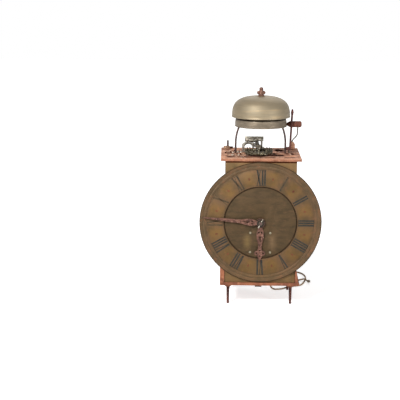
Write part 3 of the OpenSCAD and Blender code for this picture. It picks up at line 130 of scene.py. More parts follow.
def clamped(tree: bpy.types.NodeTree, value: bpy.types.NodeSocket) -> bpy.types.NodeSocket:
    """Hold a value between zero and one.

    Args:
        tree: The node tree that gets the nodes.
        value: The value.

    Returns:
        The held value.
    """
    return math_node(tree, "MINIMUM", math_node(tree, "MAXIMUM", value, 0.0), 1.0)


def spread(tree: bpy.types.NodeTree, value: bpy.types.NodeSocket, low: float, high: float,
           least: float = 0.0, most: float = 1.0) -> bpy.types.NodeSocket:
    """Spread the values between two limits over another span.

    Args:
        tree: The node tree that gets the node.
        value: The value.
        low: The value that becomes the least.
        high: The value that becomes the most.
        least: Lower end of the new span.
        most: Upper end of the new span.

    Returns:
        The new value, which stays within the span.
    """
    node = tree.nodes.new("ShaderNodeMapRange")
    for name, number in (("From Min", low), ("From Max", high), ("To Min", least),
                         ("To Max", most)):
        node.inputs[name].default_value = number
    tree.links.new(value, node.inputs["Value"])
    return node.outputs["Result"]


def mixed(tree: bpy.types.NodeTree, factor: bpy.types.NodeSocket, under: bpy.types.NodeSocket,
          over: bpy.types.NodeSocket | SocketValue) -> bpy.types.NodeSocket:
    """Mix two colours.

    Args:
        tree: The node tree that gets the node.
        factor: Share of the upper colour.
        under: The lower colour.
        over: The upper colour, with its alpha where it is a constant.

    Returns:
        The mixed colour.
    """
    node = tree.nodes.new("ShaderNodeMix")
    node.data_type = "RGBA"
    colour_a, colour_b = [s for s in node.inputs if s.type == "RGBA"]
    tree.links.new(factor, node.inputs["Factor"])
    tree.links.new(under, colour_a)
    feed(tree, over, colour_b)
    return next(s for s in node.outputs if s.type == "RGBA")


def noise_node(tree: bpy.types.NodeTree, vector: bpy.types.NodeSocket,
               scale: bpy.types.NodeSocket | float, detail: float = 2.0,
               rough: float = 0.5) -> bpy.types.NodeSocket:
    """Add a noise texture.

    Args:
        tree: The node tree that gets the node.
        vector: The place on the object.
        scale: Patches in a metre.
        detail: How many finer layers it has.
        rough: How strongly the finer layers show.

    Returns:
        The noise, about a half in the mean.
    """
    node = tree.nodes.new("ShaderNodeTexNoise")
    node.inputs["Detail"].default_value = detail
    node.inputs["Roughness"].default_value = rough
    tree.links.new(vector, node.inputs["Vector"])
    feed(tree, scale, node.inputs["Scale"])
    return node.outputs[0]


def noise_break(tree: bpy.types.NodeTree, vector: bpy.types.NodeSocket,
                share: bpy.types.NodeSocket, scale: float) -> bpy.types.NodeSocket:
    """Add a noise that thins a mark out here and there.

    Args:
        tree: The node tree that gets the nodes.
        vector: The place on the object.
        share: How much the noise matters, from none to one.
        scale: Patches in a metre.

    Returns:
        A factor from zero to one.
    """
    lift = math_node(tree, "MULTIPLY", noise_node(tree, vector, scale), BREAK_LIFT)
    gap = math_node(tree, "SUBTRACT", 1.0, math_node(tree, "MINIMUM", lift, 1.0))
    return math_node(tree, "SUBTRACT", 1.0, math_node(tree, "MULTIPLY", gap, share))


# ---------------------------------------------------------------- shader groups


class ShaderGroup:
    """A shader node group that is built once and placed in many materials.

    Attributes:
        NAME: The group's name.
        INPUTS: For each input, its short socket type and default value.
        OUTPUTS: For each output, its short socket type.
    """

    NAME: str = ""
    INPUTS: dict[str, tuple[str, SocketValue | None]] = {}
    OUTPUTS: dict[str, str] = {}

    @classmethod
    def group(cls) -> bpy.types.NodeTree:
        """Build the group, or find it where it is there already.

        Returns:
            The shader node group.
        """
        tree = bpy.data.node_groups.get(cls.NAME)
        if tree is not None:
            return tree
        tree = bpy.data.node_groups.new(cls.NAME, "ShaderNodeTree")
        for name, (kind, value) in cls.INPUTS.items():
            add_socket(tree, name, "INPUT", kind, value)
        for name, kind in cls.OUTPUTS.items():
            add_socket(tree, name, "OUTPUT", kind)
        source, sink = tree.nodes.new("NodeGroupInput"), tree.nodes.new("NodeGroupOutput")
        for name, value in cls.wire(tree, source.outputs).items():
            tree.links.new(value, sink.inputs[name])
        return tree

    @classmethod
    def wire(cls, tree: bpy.types.NodeTree,
             given: bpy.types.NodeOutputs) -> dict[str, bpy.types.NodeSocket]:
        """Add the group's nodes; each kind of group has its own.

        Args:
            tree: The group with its sockets.
            given: What comes in, by name.

        Returns:
            What goes out, by name.
        """
        raise NotImplementedError


class AgedSurface(ShaderGroup):
    """The group that all finishes share: patches of stain, pits and fine grain.

    Attributes:
        SECOND_SCALE: How much finer the bright patches are than the stains.
        STAIN_SPAN: The noise values between which a stain comes up.
        BRIGHT_SPAN: The same for a bright patch.
        PIT_SPAN: The same for a pit.
        STAIN_ROUGHNESS: How much rougher a stain is.
        BROAD: Detail and roughness of the stains' noise.
        SECOND: The same for the bright patches.
        FINE: The same for the grain.
    """

    NAME = "aged_surface"
    INPUTS = {
        "Vector": ("Vector", None), "Base": ("Color", (0.5, 0.5, 0.5, 1)),
        "Stain": ("Color", (0.3, 0.3, 0.3, 1)), "Bright": ("Color", (0.7, 0.7, 0.7, 1)),
        "Patch Scale": ("Float", 30.0), "Patch Amount": ("Float", 0.5),
        "Grain Scale": ("Float", 400.0), "Pits": ("Float", 0.3), "Roughness": ("Float", 0.5)}
    OUTPUTS = {"Color": "Color", "Roughness": "Float", "Height": "Float"}
    SECOND_SCALE = 2.7
    STAIN_SPAN = (0.42, 0.62)
    BRIGHT_SPAN = (0.55, 0.75)
    PIT_SPAN = (0.56, 0.72)
    STAIN_ROUGHNESS = 0.22
    BROAD = (5.0, 0.6)
    SECOND = (3.0, 0.5)
    FINE = (4.0, 0.65)

    @classmethod
    def wire(cls, tree: bpy.types.NodeTree,
             given: bpy.types.NodeOutputs) -> dict[str, bpy.types.NodeSocket]:
        """Wire the noises into colour, roughness and height.

        Args:
            tree: The group with its sockets.
            given: What comes in, by name.

        Returns:
            What goes out, by name.
        """
        place, amount = given["Vector"], given["Patch Amount"]
        finer = math_node(tree, "MULTIPLY", given["Patch Scale"], cls.SECOND_SCALE)
        broad = noise_node(tree, place, given["Patch Scale"], *cls.BROAD)
        second = noise_node(tree, place, finer, *cls.SECOND)
        fine = noise_node(tree, place, given["Grain Scale"], *cls.FINE)
        stain = math_node(tree, "MULTIPLY", spread(tree, broad, *cls.STAIN_SPAN), amount)
        bright = math_node(tree, "MULTIPLY", spread(tree, second, *cls.BRIGHT_SPAN), amount)
        pit = math_node(tree, "MULTIPLY", spread(tree, fine, *cls.PIT_SPAN), given["Pits"])
        colour = mixed(tree, stain, given["Base"], given["Stain"])
        colour = mixed(tree, bright, colour, given["Bright"])
        rough = math_node(tree, "MULTIPLY_ADD", stain, cls.STAIN_ROUGHNESS, given["Roughness"])
        return {"Color": mixed(tree, pit, colour, given["Stain"]), "Roughness": rough,
                "Height": math_node(tree, "SUBTRACT", fine, pit)}


class UprightBandGroup(ShaderGroup):
    """The group for a soft upright streak, broken up by noise.

    Attributes:
        NOISE_SCALE: Breaks in a metre.
    """

    NAME = "upright_band"
    INPUTS = {
        "Vector": ("Vector", None), "X": ("Float", 0.0), "Low": ("Float", 0.0),
        "High": ("Float", 0.01), "Width": ("Float", 0.003), "Soft": ("Float", 0.005),
        "Strength": ("Float", 0.8), "Breaks": ("Float", 1.0)}
    OUTPUTS = {"Mask": "Float"}
    NOISE_SCALE = 160.0

    @classmethod
    def wire(cls, tree: bpy.types.NodeTree,
             given: bpy.types.NodeOutputs) -> dict[str, bpy.types.NodeSocket]:
        """Fade the streak towards its sides and its ends.

        Args:
            tree: The group with its sockets.
            given: What comes in, by name.

        Returns:
            What goes out, by name.
        """
        parts = tree.nodes.new("ShaderNodeSeparateXYZ")
        tree.links.new(given["Vector"], parts.inputs[0])
        across, _, height = parts.outputs
        away = math_node(tree, "ABSOLUTE", math_node(tree, "SUBTRACT", across, given["X"]))
        away = math_node(tree, "DIVIDE", away, given["Width"])
        side = math_node(tree, "MAXIMUM", math_node(tree, "SUBTRACT", 1.0, away), 0.0)
        above = math_node(tree, "SUBTRACT", height, given["Low"])
        below = math_node(tree, "SUBTRACT", given["High"], height)
        ends = math_node(tree, "DIVIDE", math_node(tree, "MINIMUM", above, below), given["Soft"])
        mask = math_node(tree, "MULTIPLY", math_node(tree, "MULTIPLY", side, given["Strength"]),
                         clamped(tree, ends))
        whole = noise_break(tree, given["Vector"], given["Breaks"], cls.NOISE_SCALE)
        mask = math_node(tree, "MULTIPLY", mask, whole)
        return {"Mask": math_node(tree, "MINIMUM", mask, 1.0)}


class HourWear(ShaderGroup):
    """The group for a dial that is wiped clean between its numerals.

    Attributes:
        NOISE_SCALE: Breaks in a metre.
        HOURS: Numerals on the dial.
    """

    NAME = "hour_wear"
    INPUTS = {
        "Vector": ("Vector", None), "Middle": ("Float", 0.15), "Inner": ("Float", 0.06),
        "Outer": ("Float", 0.09), "Soft": ("Float", 0.005), "Strength": ("Float", 0.8),
        "Breaks": ("Float", 1.0)}
    OUTPUTS = {"Mask": "Float"}
    NOISE_SCALE = 70.0
    HOURS = 12.0

    @classmethod
    def wire(cls, tree: bpy.types.NodeTree,
             given: bpy.types.NodeOutputs) -> dict[str, bpy.types.NodeSocket]:
        """Let a band of patches swell between the hours.

        Args:
            tree: The group with its sockets.
            given: What comes in, by name.

        Returns:
            What goes out, by name.
        """
        parts = tree.nodes.new("ShaderNodeSeparateXYZ")
        tree.links.new(given["Vector"], parts.inputs[0])
        across = parts.outputs[0]
        up = math_node(tree, "SUBTRACT", parts.outputs[2], given["Middle"])
        turn = math_node(tree, "MULTIPLY", math_node(tree, "ARCTAN2", across, up), cls.HOURS)
        between = math_node(tree, "MULTIPLY_ADD", math_node(tree, "COSINE", turn), -0.5, 0.5)
        squares = [math_node(tree, "MULTIPLY", part, part) for part in (across, up)]
        radius = math_node(tree, "SQRT", math_node(tree, "ADD", *squares))
        inside = math_node(tree, "MINIMUM", math_node(tree, "SUBTRACT", radius, given["Inner"]),
                           math_node(tree, "SUBTRACT", given["Outer"], radius))
        band = clamped(tree, math_node(tree, "DIVIDE", inside, given["Soft"]))
        whole = noise_break(tree, given["Vector"], given["Breaks"], cls.NOISE_SCALE)
        mask = math_node(tree, "MULTIPLY", math_node(tree, "MULTIPLY", between, band), whole)
        mask = math_node(tree, "MULTIPLY", mask, given["Strength"])
        return {"Mask": math_node(tree, "MINIMUM", mask, 1.0)}


# ---------------------------------------------------------------- finishes


class Pattern(Enum):
    """Marks that work left on a surface: the way their bands run, and bands in a metre."""

    NONE = ("", 0.0)
    TURNED = ("Z", 260.0)
    TWISTED = ("DIAGONAL", 420.0)


@dataclass(frozen=True)
class UprightBand:
    """One soft upright band of colour in a finish; the one on the lower bell is painted shade.

    Attributes:
        x: Its middle, in millimetres to the right.
        low: Z of its lower end.
        high: Z of its upper end.
        wide: Half its width.
        soft: Length over which its ends fade.
        strength: Share of the colour in its middle.
        colour: Its colour.
        breaks: How much noise thins it out.
    """

    x: float
    low: float
    high: float
    wide: float
    soft: float
    strength: float
    colour: Colour
    breaks: float = 1.0

    def tree(self) -> bpy.types.NodeTree:
        """The shader group that draws it."""
        return UprightBandGroup.group()

    def values(self) -> dict[str, float]:
        """Its sizes in metres, by the group's input names."""
        return {"X": self.x * MM, "Low": self.low * MM, "High": self.high * MM,
                "Width": self.wide * MM, "Soft": self.soft * MM, "Strength": self.strength,
                "Breaks": self.breaks}


@dataclass(frozen=True)
class HourPolish:
    """The brighter patches between a dial's numerals.

    Attributes:
        middle: Height of the dial's middle above the floor.
        inner: Radius at which the patches start.
        outer: Radius at which they end.
        soft: Length over which they fade.
        strength: Share of the colour in their middle.
        colour: Their colour.
        breaks: How much noise thins them out.
    """

    middle: float
    inner: float
    outer: float
    soft: float
    strength: float
    colour: Colour
    breaks: float = 1.0

    def tree(self) -> bpy.types.NodeTree:
        """The shader group that draws them."""
        return HourWear.group()

    def values(self) -> dict[str, float]:
        """Their sizes in metres, by the group's input names."""
        return {"Middle": self.middle * MM, "Inner": self.inner * MM, "Outer": self.outer * MM,
                "Soft": self.soft * MM, "Strength": self.strength, "Breaks": self.breaks}


@dataclass(frozen=True)
class Finish:
    """One finish of the clock.

    Attributes:
        name: The material's name.
        slot: The record's material slot.
        base: The main colour.
        stain: The colour of patches and pits.
        bright: The colour of the rubbed or rusted spots; in the crown wheel's finish they are
            painted glints.
        patch: Patches in a metre.
        amount: How strongly the patches show.
        grain: Grains in a metre.
        pits: How strongly the pits show.
        rough: Roughness of the clean surface.
        metal: How metallic it is.
        bump: Depth of the grain in millimetres.
        pattern: Tool marks.
        tone_bands: Soft bands of colour at fixed places; the one on the lower bell is painted
            shade.
        squeeze: How much narrower the patches are along X, Y and Z.
        gloss: Specular level, where a half is that of a clean surface.
        BUMP_STRENGTH: How much of the height turns the surface's light.
        WAVER: How far tool marks waver.
        MARK_DETAIL: How many finer layers they have.
        MARK_SHARE: Their height by the grain's.
    """

    name: str
    slot: str
    base: Colour
    stain: Colour
    bright: Colour
    patch: float = 40.0
    amount: float = 0.8
    grain: float = 900.0
    pits: float = 0.5
    rough: float = 0.6
    metal: float = 0.0
    bump: float = 0.05
    pattern: Pattern = Pattern.NONE
    tone_bands: tuple[UprightBand | HourPolish, ...] = ()
    squeeze: Point = (1.0, 1.0, 1.0)
    gloss: float = 0.5

    BUMP_STRENGTH = 0.8
    WAVER = 0.6
    MARK_DETAIL = 2.0
    MARK_SHARE = 0.5

    def material(self) -> bpy.types.Material:
        """Build the material, or find it where it is there already.

        Returns:
            The material.
        """
        found = bpy.data.materials.get(self.name)
        if found is not None:
            return found
        mat = bpy.data.materials.new(self.name)
        mat.use_nodes = True
        nodes, link = mat.node_tree.nodes, mat.node_tree.links.new
        shader = nodes["Principled BSDF"]
        shader.inputs["Metallic"].default_value = self.metal
        shader.inputs["Specular IOR Level"].default_value = self.gloss
        place = nodes.new("ShaderNodeTexCoord").outputs["Object"]
        aged = self._aged(mat.node_tree, place)
        colour = self._tinted(mat.node_tree, place, aged.outputs["Color"])
        link(colour, shader.inputs["Base Color"])
        link(aged.outputs["Roughness"], shader.inputs["Roughness"])
        bump = nodes.new("ShaderNodeBump")
        bump.inputs["Distance"].default_value = self.bump * MM
        bump.inputs["Strength"].default_value = self.BUMP_STRENGTH
        link(self._height(mat.node_tree, place, aged.outputs["Height"]), bump.inputs["Height"])
        link(bump.outputs["Normal"], shader.inputs["Normal"])
        return mat

    def _aged(self, tree: bpy.types.NodeTree, place: bpy.types.NodeSocket) -> bpy.types.Node:
        """Place the aged surface with this finish's values.

        Args:
            tree: The material's node tree.
            place: The place on the object.

        Returns:
            The group node.
        """
        aged = tree.nodes.new("ShaderNodeGroup")
        aged.node_tree = AgedSurface.group()
        squeezed = tree.nodes.new("ShaderNodeMapping")
        squeezed.inputs["Scale"].default_value = self.squeeze
        tree.links.new(place, squeezed.inputs["Vector"])
        tree.links.new(squeezed.outputs["Vector"], aged.inputs["Vector"])
        for name, value in (
            ("Base", (*self.base, 1)), ("Stain", (*self.stain, 1)),
            ("Bright", (*self.bright, 1)), ("Patch Scale", self.patch),
            ("Patch Amount", self.amount), ("Grain Scale", self.grain), ("Pits", self.pits),
            ("Roughness", self.rough),
        ):
            aged.inputs[name].default_value = value
        return aged

    def _tinted(self, tree: bpy.types.NodeTree, place: bpy.types.NodeSocket,
                colour: bpy.types.NodeSocket) -> bpy.types.NodeSocket:
        """Add the soft bands of colour where the finish has some; the lower bell's is painted
        shade.

        Args:
            tree: The material's node tree.
            place: The place on the object.
            colour: The colour so far.

        Returns:
            The socket that carries the colour.
        """
        for tone_band in self.tone_bands:
            mark = tree.nodes.new("ShaderNodeGroup")
            mark.node_tree = tone_band.tree()
            tree.links.new(place, mark.inputs["Vector"])
            for name, value in tone_band.values().items():
                mark.inputs[name].default_value = value
            colour = mixed(tree, mark.outputs["Mask"], colour, (*tone_band.colour, 1))
        return colour

    def _height(self, tree: bpy.types.NodeTree, place: bpy.types.NodeSocket,
                grain: bpy.types.NodeSocket) -> bpy.types.NodeSocket:
        """Add the tool marks to the grain's height.

        Args:
            tree: The material's node tree.
            place: The place on the object.
            grain: The grain's height.

        Returns:
            The socket that carries the height.
        """
        if self.pattern is Pattern.NONE:
            return grain
        wave = tree.nodes.new("ShaderNodeTexWave")
        wave.wave_type = "BANDS"
        wave.bands_direction, wave.inputs["Scale"].default_value = self.pattern.value
        wave.inputs["Distortion"].default_value = self.WAVER
        wave.inputs["Detail"].default_value = self.MARK_DETAIL
        tree.links.new(place, wave.inputs["Vector"])
        return math_node(tree, "MULTIPLY_ADD", wave.outputs["Fac"], self.MARK_SHARE, grain)


def srgb(red: float, green: float, blue: float) -> Colour:
    """Turn display values from 0 to 255 into linear colour.

    Args:
        red: Red.
        green: Green.
        blue: Blue.

    Returns:
        The linear colour.
    """
    parts = (c / 255 for c in (red, green, blue))
    return tuple(c / 12.92 if c <= 0.04045 else ((c + 0.055) / 1.055) ** 2.4 for c in parts)


RED_IRON = Finish(
    "red_rusted_iron", "red_iron", base=srgb(134, 82, 56), stain=srgb(86, 50, 38),
    bright=srgb(166, 112, 84), patch=55, pits=0.6, metal=0.1, bump=0.22, gloss=0.25)
PLATE_TOP = Finish(
    "worn_red_iron", "red_iron", base=srgb(192, 138, 108), stain=srgb(96, 56, 40),
    bright=srgb(236, 200, 176), patch=60, amount=0.95, grain=300, pits=0.8, metal=0.1, bump=0.25,
    gloss=0.15)
# Painted shade: the darker front faces of the top plate, which face away from the light from
# above.
SHADED_EDGE_IRON = Finish(
    "plate_edge_painted_shade", "red_iron", base=srgb(146, 98, 74), stain=srgb(112, 70, 52),
    bright=srgb(166, 118, 92), patch=70, metal=0.1, bump=0.2, gloss=0.2)
# Partly wear, partly painted highlight: the pale strip on the top plate's front edge.
WORN_AND_LIT_EDGE = Finish(
    "worn_plate_edge_with_painted_highlight", "red_iron", base=srgb(216, 166, 136), stain=srgb(176, 120, 92),
    bright=srgb(240, 208, 186), patch=90, amount=0.9, metal=0.1, bump=0.1, gloss=0.15)
# Dark finish: painted shade on the top plate's slot walls, and rust blisters, stains and dark
# marks elsewhere.
SHADE_AND_RUST = Finish(
    "painted_shade_and_rust", "red_iron", base=srgb(58, 34, 26), stain=srgb(30, 18, 14),
    bright=srgb(88, 54, 40), patch=120, amount=0.6, rough=0.75, bump=0.2, gloss=0.0)
POST_IRON = Finish(
    "forged_red_brown_iron", "dark_iron", base=srgb(82, 44, 37), stain=srgb(48, 28, 26),
    bright=srgb(116, 68, 58), patch=90, amount=0.7, metal=0.2, bump=0.25, gloss=0.25)
DARK_IRON = Finish(
    "dark_forged_iron", "dark_iron", base=srgb(82, 62, 56), stain=srgb(46, 36, 34),
    bright=srgb(122, 92, 82), patch=90, amount=0.7, rough=0.5, metal=0.4, bump=0.25)
OLIVE_IRON = Finish(
    "oily_olive_iron", "dark_iron", base=srgb(72, 62, 48), stain=srgb(44, 38, 30),
    bright=srgb(104, 94, 76), patch=160, amount=0.7, rough=0.45, metal=0.5, bump=0.15)
DIAL_BRASS = Finish(
    "dial_brass", "brass", base=srgb(90, 68, 47), stain=srgb(74, 61, 43), bright=srgb(109, 74, 51),
    patch=46, metal=0.4, bump=0.1, gloss=0.2,
    tone_bands=(
        HourPolish(middle=150, inner=63, outer=93.5, soft=6, strength=0.75,
                   colour=srgb(108, 80, 40), breaks=1.0),
        UprightBand(x=0.0, low=44, high=84, wide=58, soft=16, strength=0.4, colour=srgb(118, 90, 54),
            breaks=0.4),
        UprightBand(x=0.0, low=212, high=242, wide=50, soft=14, strength=0.4, colour=srgb(78, 62, 42),
            breaks=0.4),
    ))
CENTRE_BRASS = Finish(
    "dial_centre_brass", "old_brass", base=srgb(72, 56, 36), stain=srgb(58, 48, 33),
    bright=srgb(88, 64, 45), patch=60, amount=0.6, grain=700, metal=0.4, bump=0.1,
    squeeze=(0.8, 1.0, 1.9), gloss=0.2,
    tone_bands=(
        UprightBand(x=-22.5, low=98, high=134, wide=9, soft=14, strength=0.7, colour=srgb(116, 94, 58),
            breaks=0.5),
        UprightBand(x=20.5, low=98, high=134, wide=9, soft=14, strength=0.55, colour=srgb(116, 92, 66),
            breaks=0.5),
        UprightBand(x=0.0, low=186, high=208, wide=26, soft=9, strength=0.6, colour=srgb(66, 52, 36),
            breaks=0.6),
    ))
SHEET_BRASS = Finish(
    "front_sheet_brass", "old_brass", base=srgb(103, 79, 49), stain=srgb(82, 67, 43),
    bright=srgb(120, 86, 52), patch=40, amount=0.7, pits=0.4, rough=0.58, metal=0.4, bump=0.08,
    gloss=0.25)
BELL_BRASS = Finish(
    "upper_bell_brass", "bell_brass", base=srgb(130, 117, 95), stain=srgb(116, 107, 89),
    bright=srgb(144, 124, 94), patch=26, amount=0.6, grain=1200, pits=0.25, rough=0.46, metal=0.75,
    bump=0.07, pattern=Pattern.TURNED, squeeze=(0.5, 0.5, 6.0))
BELL_GREY = Finish(
    "lower_bell_brass", "bell_brass", base=srgb(114, 103, 88), stain=srgb(92, 83, 71),
    bright=srgb(132, 119, 102), patch=60, amount=0.7, pits=0.6, rough=0.48, metal=0.6, bump=0.12,
    pattern=Pattern.TURNED, squeeze=(0.5, 0.5, 2.0), gloss=0.2,
    tone_bands=(
        # Painted shade: the dark band that the upper bell's rim casts on the lower bell's top.
        UprightBand(x=0, low=320.2, high=345, wide=160, soft=3.0, strength=2.2, colour=srgb(30, 22, 14),
            breaks=0.15),
    ))
# Black as painted shade inside the bells and on the lower bell's top, and as oily dirt on the
# washers over the hubs.
SHADE_AND_OIL_BLACK = Finish(
    "painted_shade_and_oil_black", "bell_brass", base=srgb(44, 38, 30), stain=srgb(26, 23, 19),
    bright=srgb(70, 60, 46), patch=60, amount=0.6, pits=0.3, metal=0.4, gloss=0.3)
WHEEL_BRASS = Finish(
    "wheel_brass", "brass", base=srgb(156, 124, 68), stain=srgb(108, 86, 50),
    bright=srgb(178, 146, 88), patch=80, amount=0.5, pits=0.25, rough=0.38, metal=0.85)
# Its near-white bright patches are painted glints.
CROWN_BRASS = Finish(
    "crown_wheel_brass", "old_brass", base=srgb(66, 58, 38), stain=srgb(28, 25, 18),
    bright=srgb(196, 190, 164), patch=190, amount=1.0, grain=700, rough=0.38, metal=0.6, bump=0.08)
GREY_STEEL = Finish(
    "grey_steel", "steel", base=srgb(134, 128, 114), stain=srgb(82, 76, 66),
    bright=srgb(182, 178, 166), patch=140, pits=0.4, rough=0.4, metal=0.75, bump=0.1)
BRIDGE_STEEL = Finish(
    "bridge_steel", "steel", base=srgb(134, 128, 117), stain=srgb(72, 65, 58),
    bright=srgb(196, 191, 182), patch=170, amount=0.9, rough=0.38, metal=0.75, bump=0.12)
DULL_STEEL = Finish(
    "dull_rivet_steel", "steel", base=srgb(120, 112, 92), stain=srgb(88, 82, 64),
    bright=srgb(184, 175, 154), patch=300, amount=0.6, grain=1200, pits=0.3, rough=0.45, metal=0.6)
PALE_STEEL = Finish(
    "pale_steel", "steel", base=srgb(182, 174, 160), stain=srgb(96, 88, 74),
    bright=srgb(222, 216, 206), patch=260, grain=1200, pits=0.3, rough=0.35, metal=0.75)
HAND_IRON = Finish(
    "hand_iron", "rose_iron", base=srgb(98, 66, 54), stain=srgb(54, 35, 29),
    bright=srgb(158, 118, 101), patch=170, grain=1100, pits=0.4, rough=0.5, metal=0.3, bump=0.08,
    gloss=0.25)
COPPER_IRON = Finish(
    "copper_coloured_iron", "rose_iron", base=srgb(226, 172, 138), stain=srgb(176, 118, 90),
    bright=srgb(240, 200, 172), patch=90, amount=0.6, pits=0.4, rough=0.5, metal=0.15, bump=0.15)
HAMMER_IRON = Finish(
    "hammer_iron", "rose_iron", base=srgb(98, 53, 38), stain=srgb(56, 34, 28),
    bright=srgb(140, 84, 64), patch=100, rough=0.5, metal=0.25, bump=0.2, gloss=0.3)
FINIAL_IRON = Finish(
    "finial_iron", "rose_iron", base=srgb(98, 62, 46), stain=srgb(60, 38, 30),
    bright=srgb(150, 112, 92), patch=160, rough=0.5, metal=0.3, bump=0.2)
TAN_BLOCK = Finish(
    "tan_block", "rose_iron", base=srgb(168, 132, 104), stain=srgb(84, 62, 48),
    bright=srgb(208, 178, 150), patch=110, amount=0.9, metal=0.1, bump=0.2)
WAX = Finish(
    "numeral_wax", "dark_iron", base=srgb(42, 39, 32), stain=srgb(32, 34, 32),
    bright=srgb(66, 57, 43), patch=160, grain=1400, pits=0.4, gloss=0.2)
WORN_WAX = Finish(
    "worn_numeral_wax", "dark_iron", base=srgb(58, 47, 33), stain=srgb(44, 39, 30),
    bright=srgb(88, 66, 42), patch=190, amount=0.9, grain=1400, pits=0.6, gloss=0.2)
FAINT_WAX = Finish(
    "faint_numeral_wax", "dark_iron", base=srgb(70, 56, 37), stain=srgb(54, 46, 33),
    bright=srgb(98, 72, 44), patch=210, amount=0.9, grain=1400, pits=0.6, metal=0.1, gloss=0.2)
# Painted shade: the dark lines at the dial centre's corner and the chapter ring's inner bevel and
# outer edge.
DIAL_LINE_SHADE = Finish(
    "painted_dial_line_shade", "dark_iron", base=srgb(46, 34, 20), stain=srgb(30, 23, 14),
    bright=srgb(64, 46, 28), patch=90, amount=0.7, grain=1400, pits=0.4, rough=0.8, gloss=0.1)
# Painted shadow under the top plate's front edge.
SHADE_RED = Finish(
    "red_brown_painted_shadow", "dark_iron", base=srgb(62, 30, 14), stain=srgb(40, 21, 12),
    bright=srgb(84, 42, 20), patch=70, amount=0.7, pits=0.4, rough=0.8, bump=0.1, gloss=0.0)
LINE_GRIME = Finish(
    "ring_line_grime", "dark_iron", base=srgb(86, 66, 42), stain=srgb(66, 54, 36),
    bright=srgb(104, 80, 50), patch=60, amount=0.9, grain=1400, pits=0.4, metal=0.1, gloss=0.3)
MARK_RED = Finish(
    "red_mark", "rose_iron", base=srgb(82, 40, 22), stain=srgb(60, 34, 22),
    bright=srgb(122, 70, 38), patch=160, amount=0.5, grain=1400, pits=0.3, gloss=0.2)
WORN_MARK = Finish(
    "worn_red_mark", "rose_iron", base=srgb(94, 54, 32), stain=srgb(76, 50, 30),
    bright=srgb(118, 74, 42), patch=160, grain=1400, pits=0.4, gloss=0.2)
HEMP = Finish(
    "hemp", "cord", base=srgb(206, 178, 148), stain=srgb(154, 126, 98), bright=srgb(226, 204, 178),
    patch=300, amount=0.7, grain=2400, pits=0.4, rough=0.9, bump=0.5, pattern=Pattern.TWISTED,
    gloss=0.1)
PALE_HEMP = Finish(
    "pale_hemp", "cord", base=srgb(214, 200, 180), stain=srgb(172, 152, 128),
    bright=srgb(234, 224, 208), patch=300, amount=0.6, grain=2400, pits=0.4, rough=0.9, bump=0.5,
    gloss=0.1)


# ---------------------------------------------------------------- making pieces


MERGE_GAP = 1e-6  # metres within which a CAD mesh's loose corners are one
SEAM_GAP = 1e-7  # metres within which a turned mesh's corners are one
FLAT_ANGLE = 0.6  # degrees up to which a CAD mesh's faces are one
EDGE_ANGLE = 38.0  # degrees from which an edge is rounded
BLOT_CORNERS = 24
BLOT_BAYS = ((0.14, 3, 1), (0.09, 7, 2))  # depth, how many round it, and turns of the phase


def new_piece(name: str, mesh: bpy.types.Mesh, finish: Finish, body: str,
              stands_for: Sequence[str] = ()) -> bpy.types.Object:
    """Put a finished mesh in the scene as a piece of the clock.

    Args:
        name: The piece's name.
        mesh: Its mesh, in metres, where it stands in the clock.
        finish: Its finish.
        body: The body that it moves with.
        stands_for: The CAD nodes that it replaces.

    Returns:
        The new object.
    """
    obj = bpy.data.objects.new(name, mesh)
    bpy.context.scene.collection.objects.link(obj)
    mesh.materials.clear()
    mesh.materials.append(finish.material())
    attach(obj, body)
    if stands_for:
        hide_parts(*stands_for)
    LOG.info("%s: %d faces, on %s", name, len(mesh.polygons), body)
    return obj


def baked(obj: bpy.types.Object) -> bpy.types.Mesh:
    """Turn an object with modifiers into a plain mesh and remove the object.

    Args:
        obj: The object with its modifiers.

    Returns:
        The evaluated mesh.
    """
    graph = bpy.context.evaluated_depsgraph_get()
    graph.update()
    mesh = bpy.data.meshes.new_from_object(obj.evaluated_get(graph))
    bpy.data.objects.remove(obj)
    return mesh


def shade_by_angle(mesh: bpy.types.Mesh, angle: float) -> None:
    """Shade a mesh smooth, but keep edges sharper than an angle.

    Args:
        mesh: The mesh.
        angle: The angle in degrees.
    """
    for face in mesh.polygons:
        face.use_smooth = True
    mesh.set_sharp_from_angle(angle=math.radians(angle))


def eased_copy(node: str, edge: float, smooth: float = 40.0, segments: int = 2) -> bpy.types.Mesh:
    """Copy a CAD node's mesh and round its edges.

    Args:
        node: The CAD node.
        edge: Width of the rounding in millimetres.
        smooth: Faces that meet at less than this angle are shaded as one.
        segments: Steps in the rounding.

    Returns:
        The new mesh.
    """
    work = bmesh.new()
    work.from_mesh(bpy.data.objects[node].data)
    bmesh.ops.remove_doubles(work, verts=work.verts, dist=MERGE_GAP)
    bmesh.ops.dissolve_limit(work, angle_limit=math.radians(FLAT_ANGLE), verts=work.verts,
                             edges=work.edges, delimit=set())
    mesh = bpy.data.meshes.new(f"{node}_eased")
    work.to_mesh(mesh)
    work.free()
    temp = bpy.data.objects.new(f"{node}_work", mesh)
    bpy.context.scene.collection.objects.link(temp)
    bevel = temp.modifiers.new("edge", "BEVEL")
    bevel.width = edge * MM
    bevel.segments = segments
    bevel.limit_method = "ANGLE"
    bevel.angle_limit = math.radians(EDGE_ANGLE)
    bevel.use_clamp_overlap = True
    result = baked(temp)
    shade_by_angle(result, smooth)
    return result


def dress(node: str, finish: Finish, edge: float, body: str = FRAME_BODY) -> bpy.types.Mesh:
    """Replace a CAD node by a copy with rounded edges and a finish.

    Args:
        node: The CAD node.
        finish: Its finish.
        edge: Width of the rounding in millimetres.
        body: The body that it moves with.

    Returns:
        The mesh of the new piece.
    """
    mesh = eased_copy(node, edge)
    new_piece(f"{node}_dressed", mesh, finish, body, [node])
    return mesh


